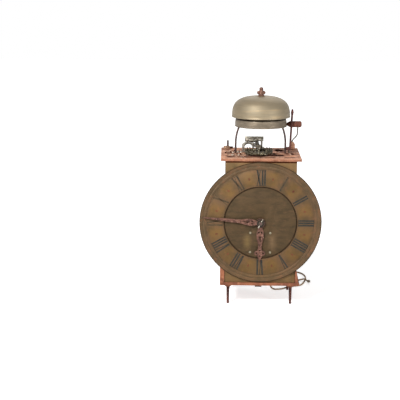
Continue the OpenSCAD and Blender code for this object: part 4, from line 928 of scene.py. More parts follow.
def second_finish(mesh: bpy.types.Mesh, finish: Finish,
                  where: Callable[[bpy.types.MeshPolygon], bool]) -> None:
    """Give some faces of a finished piece another finish.

    Args:
        mesh: The piece's mesh.
        finish: The other finish.
        where: Tells of a face whether it gets that finish.
    """
    mesh.materials.append(finish.material())
    index = len(mesh.materials) - 1
    for face in mesh.polygons:
        if where(face):
            face.material_index = index


def turned(name: str, outline: Iterable[Place], steps: int, place: Matrix,
           smooth: float = 35.0) -> bpy.types.Mesh:
    """Turn a closed outline round an axis, as on a lathe.

    Args:
        name: The mesh's name.
        outline: Points (radius, height) of the section, in millimetres, as a closed loop.
        steps: Faces round the axis.
        place: Where the axis stands: the outline's height runs along its Z.
        smooth: Shading limit in degrees.

    Returns:
        The mesh, with its normals outward.
    """
    points = list(outline)
    work = bmesh.new()
    rings = []
    for i in range(steps):
        turn = 2 * math.pi * i / steps
        rings.append([work.verts.new(place @ Vector((r * math.cos(turn), r * math.sin(turn), h))
                                     * MM) for r, h in points])
    for i, ring in enumerate(rings):
        after = rings[(i + 1) % steps]
        for k in range(len(points)):
            n = (k + 1) % len(points)
            work.faces.new((ring[k], ring[n], after[n], after[k]))
    bmesh.ops.remove_doubles(work, verts=work.verts, dist=SEAM_GAP)
    bmesh.ops.recalc_face_normals(work, faces=work.faces)
    mesh = bpy.data.meshes.new(name)
    work.to_mesh(mesh)
    work.free()
    shade_by_angle(mesh, smooth)
    return mesh


def upright_at(x: float, y: float, z: float) -> Matrix:
    """A place whose axis stands upright.

    Args:
        x: Millimetres to the right.
        y: Millimetres to the back.
        z: Millimetres up.

    Returns:
        The place.
    """
    return Matrix.Translation((x, y, z))


def facing_back(height: float) -> Matrix:
    """A place in the clock's middle plane whose axis points to the back.

    Args:
        height: Millimetres above the floor.

    Returns:
        The place.
    """
    return Matrix.Translation((0, 0, height)) @ Matrix.Rotation(math.radians(-90), 4, "X")


def flat_prisms(name: str, shapes: Iterable[Sequence[Place]], low: float, high: float,
                lying: bool = False) -> bpy.types.Mesh:
    """Give flat shapes a thickness, standing in the dial's plane or lying on a plate.

    Args:
        name: The mesh's name.
        shapes: Outlines of (x, z) points, or of (x, y) points where they lie.
        low: Y of the front face, or Z of the lower face.
        high: Y of the back face, or Z of the upper face.
        lying: Whether the shapes lie.

    Returns:
        The mesh.
    """
    work = bmesh.new()
    for shape in shapes:
        near, far = ([work.verts.new(Vector((u, v, level) if lying else (u, level, v)) * MM)
                      for u, v in shape] for level in (low, high))
        work.faces.new(near)
        work.faces.new(list(reversed(far)))
        for i in range(len(shape)):
            n = (i + 1) % len(shape)
            work.faces.new((near[i], far[i], far[n], near[n]))
    bmesh.ops.recalc_face_normals(work, faces=work.faces)
    mesh = bpy.data.meshes.new(name)
    work.to_mesh(mesh)
    work.free()
    return mesh


def blot(x: float, y: float, wide: float, deep: float, phase: float) -> Outline:
    """A stain's uneven outline.

    Args:
        x: Its middle, to the right.
        y: Its middle, to the back or up.
        wide: Half its width.
        deep: Half its other measure.
        phase: Shifts its bays.

    Returns:
        The outline.
    """
    points = []
    for i in range(BLOT_CORNERS):
        turn = 2 * math.pi * i / BLOT_CORNERS
        bay = sum((depth * math.sin(count * turn + shift * phase)
                   for depth, count, shift in BLOT_BAYS), 1)
        points.append((x + wide * bay * math.cos(turn), y + deep * bay * math.sin(turn)))
    return points


# ---------------------------------------------------------------- Geometry Nodes


class NodeTool:
    """A Geometry Nodes tree with named inputs that turns points into finished parts.

    Attributes:
        SMOOTH: Shading limit of what it makes, in degrees.
        tree: The node tree.
        sockets: Its interface sockets by name.
        source: The node that gives the inputs.
        sink: The node that takes the result.
    """

    SMOOTH = 45.0

    def __init__(self, name: str, inputs: dict[str, tuple[str, SocketValue]]) -> None:
        """Start the tree.

        Args:
            name: The tree's name.
            inputs: For each named input, its short socket type and default value.
        """
        self.tree = bpy.data.node_groups.new(name, "GeometryNodeTree")
        add_socket(self.tree, "Geometry", "INPUT", "Geometry")
        self.sockets = {key: add_socket(self.tree, key, "INPUT", kind, value)
                        for key, (kind, value) in inputs.items()}
        add_socket(self.tree, "Geometry", "OUTPUT", "Geometry")
        self.source = self.tree.nodes.new("NodeGroupInput")
        self.sink = self.tree.nodes.new("NodeGroupOutput")

    def add(self, kind: str, values: dict[str | int, bpy.types.NodeSocket | SocketValue],
            **settings: str) -> bpy.types.Node:
        """Add a node and feed its inputs.

        Args:
            kind: The node's full type.
            values: Sockets or constants, by the inputs' names or numbers.
            settings: Properties to set on the node first.

        Returns:
            The node.
        """
        node = self.tree.nodes.new(kind)
        for key, setting in settings.items():
            setattr(node, key, setting)
        for key, value in values.items():
            feed(self.tree, value, node.inputs[key])
        return node

    def given(self, name: str) -> bpy.types.NodeSocket:
        """The value of a named input, as a socket."""
        return self.source.outputs[name]

    def grow(self, seedling: bpy.types.NodeSocket, turned_by: bpy.types.NodeSocket | SocketValue,
             scaled_by: bpy.types.NodeSocket | SocketValue, finish: Finish) -> None:
        """End the tree: set a copy on every point and make the copies real, in one material.

        Args:
            seedling: The geometry to copy.
            turned_by: The rotation of each copy.
            scaled_by: The scale of each copy.
            finish: Their finish.
        """
        copies = self.add("GeometryNodeInstanceOnPoints", {
            "Points": self.given("Geometry"), "Instance": seedling, "Rotation": turned_by,
            "Scale": scaled_by})
        real = self.add("GeometryNodeRealizeInstances", {0: copies.outputs[0]})
        smooth = self.add("GeometryNodeSetShadeSmooth", {0: real.outputs[0]})
        paint = self.add("GeometryNodeSetMaterial", {0: smooth.outputs[0]})
        paint.inputs["Material"].default_value = finish.material()
        self.tree.links.new(paint.outputs[0], self.sink.inputs[0])

    def run(self, name: str, points: Sequence[Point],
            values: dict[str, SocketValue]) -> bpy.types.Mesh:
        """Run the tree on points.

        Args:
            name: The result's name.
            points: Points in millimetres.
            values: Values of the named inputs.

        Returns:
            The finished mesh.
        """
        seed = bpy.data.meshes.new(name)
        seed.from_pydata([Vector(p) * MM for p in points], [], [])
        obj = bpy.data.objects.new(f"{name}_points", seed)
        bpy.context.scene.collection.objects.link(obj)
        modifier = obj.modifiers.new("make", "NODES")
        modifier.node_group = self.tree
        for key, value in values.items():
            modifier[self.sockets[key].identifier] = value
        mesh = baked(obj)
        shade_by_angle(mesh, self.SMOOTH)
        return mesh


def stud_tool(finish: Finish) -> NodeTool:
    """A tree that sets a domed stud of varied size on every point.

    Args:
        finish: The studs' finish.

    Returns:
        The tree.
    """
    tool = NodeTool("stud_maker", {
        "Radius": ("Float", 0.001), "Dome": ("Float", 0.5), "Spread": ("Float", 0.2),
        "Seed": ("Int", 3)})
    ball = tool.add("GeometryNodeMeshUVSphere", {
        "Segments": 16, "Rings": 9, "Radius": tool.given("Radius")})
    dome = tool.add("ShaderNodeCombineXYZ", {0: 1.0, 1: 1.0, 2: tool.given("Dome")})
    domed = tool.add("GeometryNodeTransform", {
        "Geometry": ball.outputs[0], "Scale": dome.outputs[0]})
    smallest = math_node(tool.tree, "SUBTRACT", 1.0, tool.given("Spread"))
    size = tool.add("FunctionNodeRandomValue", {2: smallest, 3: 1.0, "Seed": tool.given("Seed")})
    tool.grow(domed.outputs[0], (0.0, 0.0, 0.0), size.outputs[1], finish)
    return tool


def fray_tool(finish: Finish) -> NodeTool:
    """A tree that grows a thin pointed strand from every point along the tassel.

    Args:
        finish: The strands' finish.

    Returns:
        The tree.
    """
    tool = NodeTool("fray_maker", {
        "Length": ("Float", 0.01), "Radius": ("Float", 0.0002), "Lean": ("Float", 0.35),
        "Tip": ("Float", 0.00008), "Heading": ("Vector", (0.0, 0.0, 0.0)), "Seed": ("Int", 5)})
    strand = tool.add("GeometryNodeMeshCone", {
        "Vertices": 5, "Radius Top": tool.given("Tip"), "Radius Bottom": tool.given("Radius"),
        "Depth": tool.given("Length")})
    least = math_node(tool.tree, "MULTIPLY", tool.given("Lean"), -1.0)
    lean = tool.add("FunctionNodeRandomValue", {
        0: least, 1: tool.given("Lean"), "Seed": tool.given("Seed")}, data_type="FLOAT_VECTOR")
    turn = tool.add("ShaderNodeVectorMath", {0: lean.outputs[0], 1: tool.given("Heading")})
    tool.grow(strand.outputs["Mesh"], turn.outputs[0], (1.0, 1.0, 1.0), finish)
    return tool


# ---------------------------------------------------------------- studio


@dataclass(frozen=True)
class Lamp:
    """A square soft lamp.

    Attributes:
        name: Its name.
        place: Its place in millimetres.
        aim: The point that it lights.
        size: Its side in millimetres.
        power: Its power in watts.
    """

    name: str
    place: Point
    aim: Point
    size: float
    power: float

    def build(self) -> None:
        """Set the lamp up."""
        data = bpy.data.lights.new(self.name, "AREA")
        data.size = self.size * MM
        data.energy = self.power
        obj = bpy.data.objects.new(self.name, data)
        place, aim = Vector(self.place), Vector(self.aim)
        obj.location = place * MM
        obj.rotation_euler = (place - aim).to_track_quat("Z", "Y").to_euler()
        bpy.context.scene.collection.objects.link(obj)


@dataclass
class Studio:
    """Camera, lights, floor and backdrop.

    Attributes:
        eye: The camera's place in millimetres.
        yaw: Degrees to the right of straight ahead.
        pitch: Degrees downwards.
        roll: Degrees of tilt.
        focal_px: Focal length in pixels of the 400 pixel frame.
        frame_px: Width of the photograph's frame in pixels.
        sensor: Width of the camera's sensor in millimetres.
        far_end: How far it sees, in metres.
        lamps: A large key lamp up left, a weaker fill on the right and a faint one behind.
        world_light: Strength of the world where it only lights.
        floor_half: Half the floor's side in metres.
        floor_grey: The floor's own colour.
        floor_rough: Its roughness.
        glow_from: Distance from the clock, in metres, at which the floor's white is least.
        glow_to: Distance at which it is most.
        glow: The least and the most of the white that the floor adds where it is seen.
    """

    eye: Point = (-58.75, -1987.55, 560.42)
    yaw: float = -1.355
    pitch: float = 10.961
    roll: float = 0.313
    focal_px: float = 1140.3
    frame_px: float = 400.0
    sensor: float = 36.0
    far_end: float = 50.0
    lamps: tuple[Lamp, ...] = (
        Lamp("key", place=(-1450, -2500, 2100), aim=(0, 0, 180), size=620, power=158),
        Lamp("fill", place=(1500, -1500, 620), aim=(0, 0, 180), size=420, power=17),
        Lamp("back_top", place=(200, 900, 1300), aim=(0, 0, 250), size=900, power=3))
    world_light: float = 0.18
    floor_half: float = 6.0
    floor_grey: float = 0.88
    floor_rough: float = 0.9
    glow_from: float = 0.5
    glow_to: float = 2.0
    glow: Span = (0.66, 0.96)

    def camera(self) -> bpy.types.Object:
        """Make the photograph's camera.

        Returns:
            The camera object.
        """
        data = bpy.data.cameras.new("photo_camera")
        data.sensor_width = self.sensor
        data.lens = self.focal_px / self.frame_px * self.sensor
        data.clip_end = self.far_end
        cam = bpy.data.objects.new("photo_camera", data)
        bpy.context.scene.collection.objects.link(cam)
        yaw, pitch, roll = (math.radians(v) for v in (self.yaw, self.pitch, self.roll))
        ahead = Vector((math.sin(yaw) * math.cos(pitch), math.cos(yaw) * math.cos(pitch),
                        -math.sin(pitch)))
        level = Vector((math.cos(yaw), -math.sin(yaw), 0))
        upward = level.cross(ahead)
        right = level * math.cos(roll) + upward * math.sin(roll)
        top = upward * math.cos(roll) - level * math.sin(roll)
        turn = Matrix((right, top, -ahead)).transposed().to_4x4()
        cam.matrix_world = Matrix.Translation(Vector(self.eye) * MM) @ turn
        bpy.context.scene.camera = cam
        return cam

    def lights(self) -> None:
        """Set up the lamps and the plain view."""
        bpy.context.scene.view_settings.view_transform = "Standard"
        for lamp in self.lamps:
            lamp.build()

    @staticmethod
    def seen_rays(tree: bpy.types.NodeTree) -> bpy.types.NodeSocket:
        """The rays by which the background is seen: camera, glossy and transmission rays.

        Args:
            tree: The node tree that asks.

        Returns:
            A socket that is one for those rays.
        """
        path = tree.nodes.new("ShaderNodeLightPath")
        socket = path.outputs["Is Camera Ray"]
        for name in ("Is Glossy Ray", "Is Transmission Ray"):
            socket = math_node(tree, "MAXIMUM", socket, path.outputs[name])
        return socket

    def world(self) -> None:
        """A pale world that the camera sees as white and that lights softly."""
        world = bpy.data.worlds.new("pale_room")
        bpy.context.scene.world = world
        world.use_nodes = True
        tree = world.node_tree
        back = tree.nodes["Background"]
        back.inputs["Color"].default_value = (1, 1, 1, 1)
        level = spread(tree, self.seen_rays(tree), 0.0, 1.0, self.world_light, 1.0)
        tree.links.new(level, back.inputs["Strength"])

    def floor(self) -> None:
        """A large pale floor that keeps the clock's shadow."""
        mesh, half = bpy.data.meshes.new("floor"), self.floor_half
        mesh.from_pydata([(-half, -half, 0), (half, -half, 0), (half, half, 0), (-half, half, 0)],
                         [], [(0, 1, 2, 3)])
        obj = bpy.data.objects.new("floor", mesh)
        bpy.context.scene.collection.objects.link(obj)
        mat = bpy.data.materials.new("floor_paper")
        mat.use_nodes = True
        tree, link = mat.node_tree, mat.node_tree.links.new
        shader = tree.nodes["Principled BSDF"]
        shader.inputs["Base Color"].default_value = (*[self.floor_grey] * 3, 1)
        shader.inputs["Roughness"].default_value = self.floor_rough
        away = tree.nodes.new("ShaderNodeVectorMath")
        away.operation = "LENGTH"
        link(tree.nodes.new("ShaderNodeTexCoord").outputs["Object"], away.inputs[0])
        level = spread(tree, away.outputs["Value"], self.glow_from, self.glow_to, *self.glow)
        glow = tree.nodes.new("ShaderNodeEmission")
        link(math_node(tree, "MULTIPLY", self.seen_rays(tree), level), glow.inputs["Strength"])
        both = tree.nodes.new("ShaderNodeAddShader")
        link(shader.outputs[0], both.inputs[0])
        link(glow.outputs[0], both.inputs[1])
        link(both.outputs[0], tree.nodes["Material Output"].inputs["Surface"])
        mesh.materials.append(mat)


# ---------------------------------------------------------------- pull cord


@dataclass
class PullCord:
    """The thin cord from the detent's arm, over the floor and round behind the clock.

    Attributes:
        diameter: The cord's diameter in millimetres.
        coil_radius: Outer radius of the coil, to the middle of the cord.
        coil_turns: Turns in each of its two layers.
        pitch: Distance between its turns.
        layer_gap: Room between its two layers.
        turn_points: Points in a turn.
        climb: Share of a turn over which the cord climbs to the upper layer.
        coil_at: The coil's middle on the floor.
        lead: Points from the arm to the coil.
        tail: Points from the coil to the tassel.
        span_steps: Pieces of the curve between two such points.
        tassel: The point that the tassel reaches for.
        strands: Strands in the tassel.
        tassel_wide: Its radius.
        strand_length: Length of a strand.
        strand_wide: Radius of a strand at its foot.
        strand_lean: How far strands lean apart, in radians.
        strand_from: Distance along the tassel at which the first strands sit.
        strand_reach: Length over which they are spread from there.
        tassel_flat: The tassel's height by its width.
        tassel_lift: How far it lies over the cord's middle line.
        knot_height: Height of the knot above the floor.
        straight: Distances before the coil at which the lead is in line with it; the last one
            also holds for the tail.
        KNOT: The knot's section as (radius, height).
        GOLDEN_TURN: Turn from one strand to the next, in radians.
        GOLDEN_SHARE: Share of the reach from one strand to the next.
    """

    diameter: float = 3.0
    coil_radius: float = 23.4
    coil_turns: int = 4
    pitch: float = 3.6
    layer_gap: float = 0.5
    turn_points: int = 24
    climb: float = 0.25
    coil_at: Place = (-6.0, 126.0)
    lead: tuple[Point, ...] = (
        (22, 46, 212), (22, 46, 180), (22, 46, 140), (22, 46, 100), (22, 46, 60),
        (22, 46, 30), (22.3, 46, 14), (24.5, 45.4, 5.5), (30, 44, 1.6), (38, 43.5, 1.5),
        (46, 47, 1.5), (54, 56, 1.5), (64, 65, 1.5), (74, 69, 1.5), (82, 76, 1.5),
        (87, 90, 1.5), (91, 108, 1.5), (93.5, 126, 1.5), (92.6, 144, 1.5), (87, 161, 1.5),
        (77, 170.5, 1.5), (62, 174, 1.5), (45, 170, 1.5), (34, 158, 1.5), (30.5, 142, 1.5),
        (29, 126, 1.5), (22, 111, 1.5))
    tail: tuple[Point, ...] = (
        (-28.5, 142, 2.4), (-22, 155, 1.5), (-6, 162, 1.5), (12, 162, 1.5), (25, 158, 3.2),
        (33, 154.5, 4.9), (41, 150, 3.2), (50, 143, 1.5), (62, 129, 1.5), (71, 116, 1.5),
        (78, 109.5, 1.5), (84, 107.5, 3.2), (89.8, 104.8, 4.9), (94.2, 99, 3.6))
    span_steps: int = 4
    tassel: Point = (97.5, 86, 4.2)
    strands: int = 70
    tassel_wide: float = 2.1
    strand_length: float = 9.0
    strand_wide: float = 0.5
    strand_lean: float = 0.32
    strand_from: float = 1.5
    strand_reach: float = 7.0
    tassel_flat: float = 0.8
    tassel_lift: float = 0.9
    knot_height: float = 208.4
    straight: Span = (14.0, 4.0)

    KNOT = ((0.01, 3.3), (1.6, 3.1), (2.9, 1.9), (3.3, 0), (2.9, -1.9), (1.6, -3.1), (0.01, -3.3))
    GOLDEN_TURN = 2.399963
    GOLDEN_SHARE = 0.618034

    def coil(self) -> list[Point]:
        """Wind the two layers of the coil.

        Returns:
            Points along the middle of the cord.
        """
        turns, whole = self.coil_turns, 2 * self.coil_turns + self.climb
        points = []
        for i in range(int(self.turn_points * whole) + 1):
            t = i / self.turn_points
            if t < turns:
                radius = self.coil_radius - self.pitch * t
            elif t < turns + self.climb:
                radius = self.coil_radius - self.pitch * turns
            else:
                radius = self.coil_radius - self.pitch * (whole - t)
            climbed = min(max((t - turns) / self.climb, 0), 1)
            rise = (1 - math.cos(math.pi * climbed)) / 2
            points.append((self.coil_at[0] - radius * math.sin(2 * math.pi * t),
                           self.coil_at[1] - radius * math.cos(2 * math.pi * t),
                           self.diameter / 2 + (self.diameter + self.layer_gap) * rise))
        return points

    def smooth(self, points: Sequence[Point]) -> list[Vector]:
        """Draw a smooth line through points.

        Args:
            points: The points.

        Returns:
            Points along the line.
        """
        p = [Vector(q) for q in points]
        line = []
        for i in range(len(p) - 1):
            a, b, c, d = p[max(i - 1, 0)], p[i], p[i + 1], p[min(i + 2, len(p) - 1)]
            for k in range(self.span_steps):
                t = k / self.span_steps
                line.append(0.5 * (2 * b + (c - a) * t + (2 * a - 5 * b + 4 * c - d) * t * t
                                   + (3 * b - a - 3 * c + d) * t ** 3))
        return line + [p[-1]]

    def path(self) -> list[Vector]:
        """The whole route: lead, coil and tail.

        Returns:
            Points in millimetres, from the detent's arm to the tassel.
        """
        coil = [Vector(p) for p in self.coil()]
        into = (coil[1] - coil[0]).normalized()
        out = (coil[-1] - coil[-2]).normalized()
        first = self.smooth([*self.lead, *[coil[0] - away * into for away in self.straight]])
        last = self.smooth([coil[-1] + self.straight[-1] * out, *self.tail])
        return [*first, *coil, *last]

    def build(self) -> bpy.types.Object:
        """Returns:
            The cord.
        """
        path = self.path()
        curve = bpy.data.curves.new("pull_cord", "CURVE")
        curve.dimensions = "3D"
        curve.bevel_depth = self.diameter / 2 * MM
        curve.bevel_resolution = 3
        curve.use_fill_caps = True
        spline = curve.splines.new("POLY")
        spline.points.add(len(path) - 1)
        for control, point in zip(spline.points, path):
            control.co = (*(point * MM), 1)
        spline.use_smooth = True
        obj = bpy.data.objects.new("pull_cord", curve)
        bpy.context.scene.collection.objects.link(obj)
        curve.materials.append(HEMP.material())
        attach(obj, FRAME_BODY)
        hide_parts("pull_cord_lead", "pull_cord_coil", "pull_cord_tail")
        knot = self.knot()
        tassel = self.fray(path[-1])
        return obj

    def knot(self) -> bpy.types.Object:
        """The knot that keeps the cord on the detent's arm.

        Returns:
            The knot.
        """
        x, y, _ = self.lead[0]
        mesh = turned("cord_knot", self.KNOT, steps=20, smooth=80,
                      place=upright_at(x, y, self.knot_height))
        return new_piece("cord_knot", mesh, HEMP, FRAME_BODY)

    def fray(self, end: Vector) -> bpy.types.Object:
        """The frayed tassel at the cord's end.

        Args:
            end: The cord's last point.

        Returns:
            The tassel.
        """
        heading = (Vector(self.tassel) - end).normalized()
        points = []
        for i in range(self.strands):
            turn = i * self.GOLDEN_TURN
            out = self.tassel_wide * math.sqrt((i + 0.5) / self.strands)
            along = self.strand_from + self.strand_reach * ((i * self.GOLDEN_SHARE) % 1)
            points.append(tuple(end + heading * along + Vector(
                (out * math.cos(turn) * heading.y, -out * math.cos(turn) * heading.x,
                 out * math.sin(turn) * self.tassel_flat + self.tassel_lift))))
        rotation = heading.to_track_quat("Z", "Y").to_euler()
        mesh = fray_tool(PALE_HEMP).run("cord_tassel", points, {
            "Length": self.strand_length * MM, "Radius": self.strand_wide * MM,
            "Lean": self.strand_lean, "Heading": tuple(rotation)})
        return new_piece("cord_tassel", mesh, PALE_HEMP, FRAME_BODY)


# ---------------------------------------------------------------- cage


@dataclass
class Cage:
    """Plates, posts, sheets and doors. Lengths are in millimetres.

    Attributes:
        edge: Rounding of the plates', posts' and bars' edges.
        sheet_edge: Rounding of the front and back sheets' edges.
        door_edge: Rounding of the doors' edges.
        inside: Distance from the middle within which a plate's walls are those of its slots.
        wall_slope: The most that an upright wall's normal rises.
        front_slope: How much a face of the plate's front edge looks to the front.
        plate_top: Height of the top plate's upper face.
        pin_ends: Places of pin ends on the top plate.
        dark_studs: Places of dark round marks on it.
        bright_studs: Places of bright round marks on it.
        litter_corner: The corner from which small litter is spread.
        litter_reach: How far it is spread to the right and to the back.
        pivot_x: Where the arbor stands that the litter keeps clear of.
        pivot_clear: How far it keeps clear.
        litter_vary: How much smaller than the largest the smallest of it may be.
        blots: Middle, half width, half depth and phase of each dark mark: stains and painted
            shadow.
        wear_and_light_half: Half the length of the strip at the plate's front edge that is partly
            wear and partly painted highlight.
        wear_and_light_front: Its front.
        wear_and_light_depth: Its back, on average.
        wear_and_light_steps: Points on its uneven back.
        sink: How deep the flat patches reach into the plate.
        sheet_front: The front sheet's front face.
        sheet_half: Half its width.
        shade_low: Foot of the shade at its top.
        shade_high: Head of that shade.
        PLATES_AND_BARS: The finish of each fixed node of the cage.
        SHEETS: The thin ones among them.
        SPREAD: Steps along x and y, as shares of the reach, that spread points evenly.
        WAVES: Height, step and phase of the waves in the back of the strip of wear and painted
            highlight.
    """

    edge: float = 0.5
    sheet_edge: float = 0.12
    door_edge: float = 0.15
    inside: float = 64.0
    wall_slope: float = 0.7
    front_slope: float = 0.6
    plate_top: float = 260.2
    pin_ends: tuple[Place, ...] = (
        (-60, 6), (-57, -8), (-49, 14), (-46, 3), (-43, -14), (-38, 10), (-35, 22), (-30, -8),
        (-56, -26), (-48, -30), (-40, -38), (-33, -22), (-61, 34), (-45, 30), (-27, 28),
        (52, -22), (61, -30), (56, 26), (44, 14), (60, 6), (30, 10), (16, 44), (-16, 48))
    dark_studs: tuple[Place, ...] = (
        (-61.0, -2.1), (-52.2, 3.1), (-41.7, -12.7), (-34.7, -15.8), (-45.3, 25.1),
        (-36.4, 24.4), (-50.8, -6.0))
    bright_studs: tuple[Place, ...] = (
        (-39.2, 15.8), (-48.1, 3.4), (-49.4, -24.8), (-38.3, -24.1), (-33.4, 7.8),
        (-46.9, -26.7))
    litter_corner: Place = (-63.0, -44.0)
    litter_reach: Place = (42.0, 78.0)
    pivot_x: float = -43.6
    pivot_clear: float = 5.0
    litter_vary: float = 0.6
    blots: tuple[tuple[float, float, float, float, float], ...] = (
        (-53, -41.5, 7.5, 2.6, 0.4), (34, 37, 8.5, 13, 1.3), (30, 2, 13, 3.0, 2.2),
        (-30, 40, 8, 3.5, 3.1), (-57, 44, 7, 3.0, 4.4), (56, -6, 3, 7, 0.9),
        (-0.5, -53, 0.9, 4, 0), (0.5, -32.5, 6.5, 5.0, 0.7), (20, -23.5, 17, 2.2, 2.9))
    wear_and_light_half: float = 67.5
    wear_and_light_front: float = -67.6
    wear_and_light_depth: float = -57.0
    wear_and_light_steps: int = 48
    sink: float = 0.2
    sheet_front: float = -66.0
    sheet_half: float = 61.0
    shade_low: float = 253.5
    shade_high: float = 256.5

    PLATES_AND_BARS = {
        "base_plate": RED_IRON, "top_plate": PLATE_TOP, "front_left_post": POST_IRON,
        "front_right_post": POST_IRON, "back_left_post": POST_IRON,
        "back_right_post": POST_IRON, "foot_collars": RED_IRON, "front_plate": SHEET_BRASS,
        "back_plate": RED_IRON, "front_bar": DARK_IRON, "middle_bar": DARK_IRON,
        "back_bar": DARK_IRON, "bar_wedges": GREY_STEEL}
    SHEETS = ("front_plate", "back_plate")
    SPREAD = (0.754878, 0.569840)
    WAVES = ((1.5, 1.3, 0.0), (1.1, 2.9, 1.0))

    def build(self) -> None:
        """Dress the plates, posts, sheets, doors and bars."""
        meshes = {node: dress(node, finish, self.sheet_edge if node in self.SHEETS else self.edge)
                  for node, finish in self.PLATES_AND_BARS.items()}
        # The slot walls get a dark finish as painted shade.
        second_finish(meshes["top_plate"], SHADE_AND_RUST, self.is_slot_wall)
        # The plate's front faces get a darker finish as painted shade.
        second_finish(meshes["top_plate"], SHADED_EDGE_IRON, self.is_front_edge)
        for side in ("left", "right"):
            dress(f"{side}_door", SHEET_BRASS, self.door_edge, f"{side}_door_leaf")
        self.litter()
        self.stains_and_shadow()
        self.sheet_shade()
        LOG.info("cage: %d nodes dressed", len(meshes) + 2)

    def is_slot_wall(self, face: bpy.types.MeshPolygon) -> bool:
        """Whether a face of a plate is an upright wall of one of its slots or holes."""
        centre = face.center / MM
        return (abs(face.normal.z) < self.wall_slope
                and max(abs(centre.x), abs(centre.y)) < self.inside)

    def is_front_edge(self, face: bpy.types.MeshPolygon) -> bool:
        """Whether a face of a plate belongs to its front edge."""
        return face.normal.y < -self.front_slope and face.center.y / MM < -self.inside

    def raised(self, places: Iterable[Place]) -> list[Point]:
        """Places on the plate's top face, from their x and y."""
        return [(x, y, self.plate_top) for x, y in places]

    def scatter(self, count: int, phase: float) -> list[Point]:
        """Spread points over the left part of the top plate.

        Args:
            count: How many points to try.
            phase: Where the spread starts.

        Returns:
            The points that keep clear of slots and pivots.
        """
        places = []
        for i in range(count):
            x, y = (start + reach * ((i * share + phase) % 1) for start, reach, share
                    in zip(self.litter_corner, self.litter_reach, self.SPREAD))
            if max(abs(x - self.pivot_x), abs(y)) > self.pivot_clear:
                places.append((x, y))
        return self.raised(places)

    def litter(self) -> None:
        """Pin ends, rust blisters, solder specks and round marks on the top plate."""
        for name, finish, points, radius, dome in (
            ("plate_pin_ends", TAN_BLOCK, self.raised(self.pin_ends), 1.8, 0.75),
            ("plate_rust_blisters", SHADE_AND_RUST, self.scatter(count=60, phase=0.13), 1.9, 0.3),
            ("plate_solder_specks", PALE_STEEL, self.scatter(count=40, phase=0.61), 1.2, 0.5),
            ("plate_dark_studs", SHADE_AND_RUST, self.raised(self.dark_studs), 1.5, 1.7),
            ("plate_bright_studs", PALE_STEEL, self.raised(self.bright_studs), 1.9, 1.0),
        ):
            mesh = stud_tool(finish).run(name, points, {
                "Radius": radius * MM, "Dome": dome, "Spread": self.litter_vary})
            new_piece(name, mesh, finish, FRAME_BODY)

    def laid_patch(self, name: str, shapes: Sequence[Outline], rise: float,
                   finish: Finish) -> None:
        """Lay flat shapes on the top plate.

        Args:
            name: The piece's name.
            shapes: Outlines seen from above.
            rise: How far they stand over the plate, in millimetres.
            finish: Their finish.
        """
        mesh = flat_prisms(name, shapes, self.plate_top - self.sink, self.plate_top + rise,
                           lying=True)
        new_piece(name, mesh, finish, FRAME_BODY)

    def stains_and_shadow(self) -> None:
        """Stains and painted shadow on the top plate, and its front strip of wear and painted
        highlight.
        """
        # Some of these dark marks are painted shadow round the crown wheel and its slot.
        self.laid_patch("plate_stains_and_shadow", [blot(*values) for values in self.blots],
                        rise=0.06, finish=SHADE_AND_RUST)
        # The strip at the front edge is partly wear and partly painted highlight.
        steps, reach = self.wear_and_light_steps, self.wear_and_light_half
        rim = [(-reach + 2 * reach * i / steps,
                sum((high * math.sin(i * step + phase) for high, step, phase in self.WAVES),
                    self.wear_and_light_depth)) for i in range(steps + 1)]
        strip = [(-reach, self.wear_and_light_front), (reach, self.wear_and_light_front), *reversed(rim)]
        self.laid_patch("plate_front_wear_and_highlight", [strip], rise=0.04, finish=WORN_AND_LIT_EDGE)

    def sheet_shade(self) -> None:
        """A strip of painted shadow at the top of the front sheet, under the plate's edge."""
        side, low, high = self.sheet_half, self.shade_low, self.shade_high
        corners = [(-side, low), (side, low), (side, high), (-side, high)]
        mesh = flat_prisms("sheet_top_shade", [corners], self.sheet_front - 0.08,
                           self.sheet_front + 0.4)
        new_piece("sheet_top_shade", mesh, SHADE_RED, FRAME_BODY)


# ---------------------------------------------------------------- dial


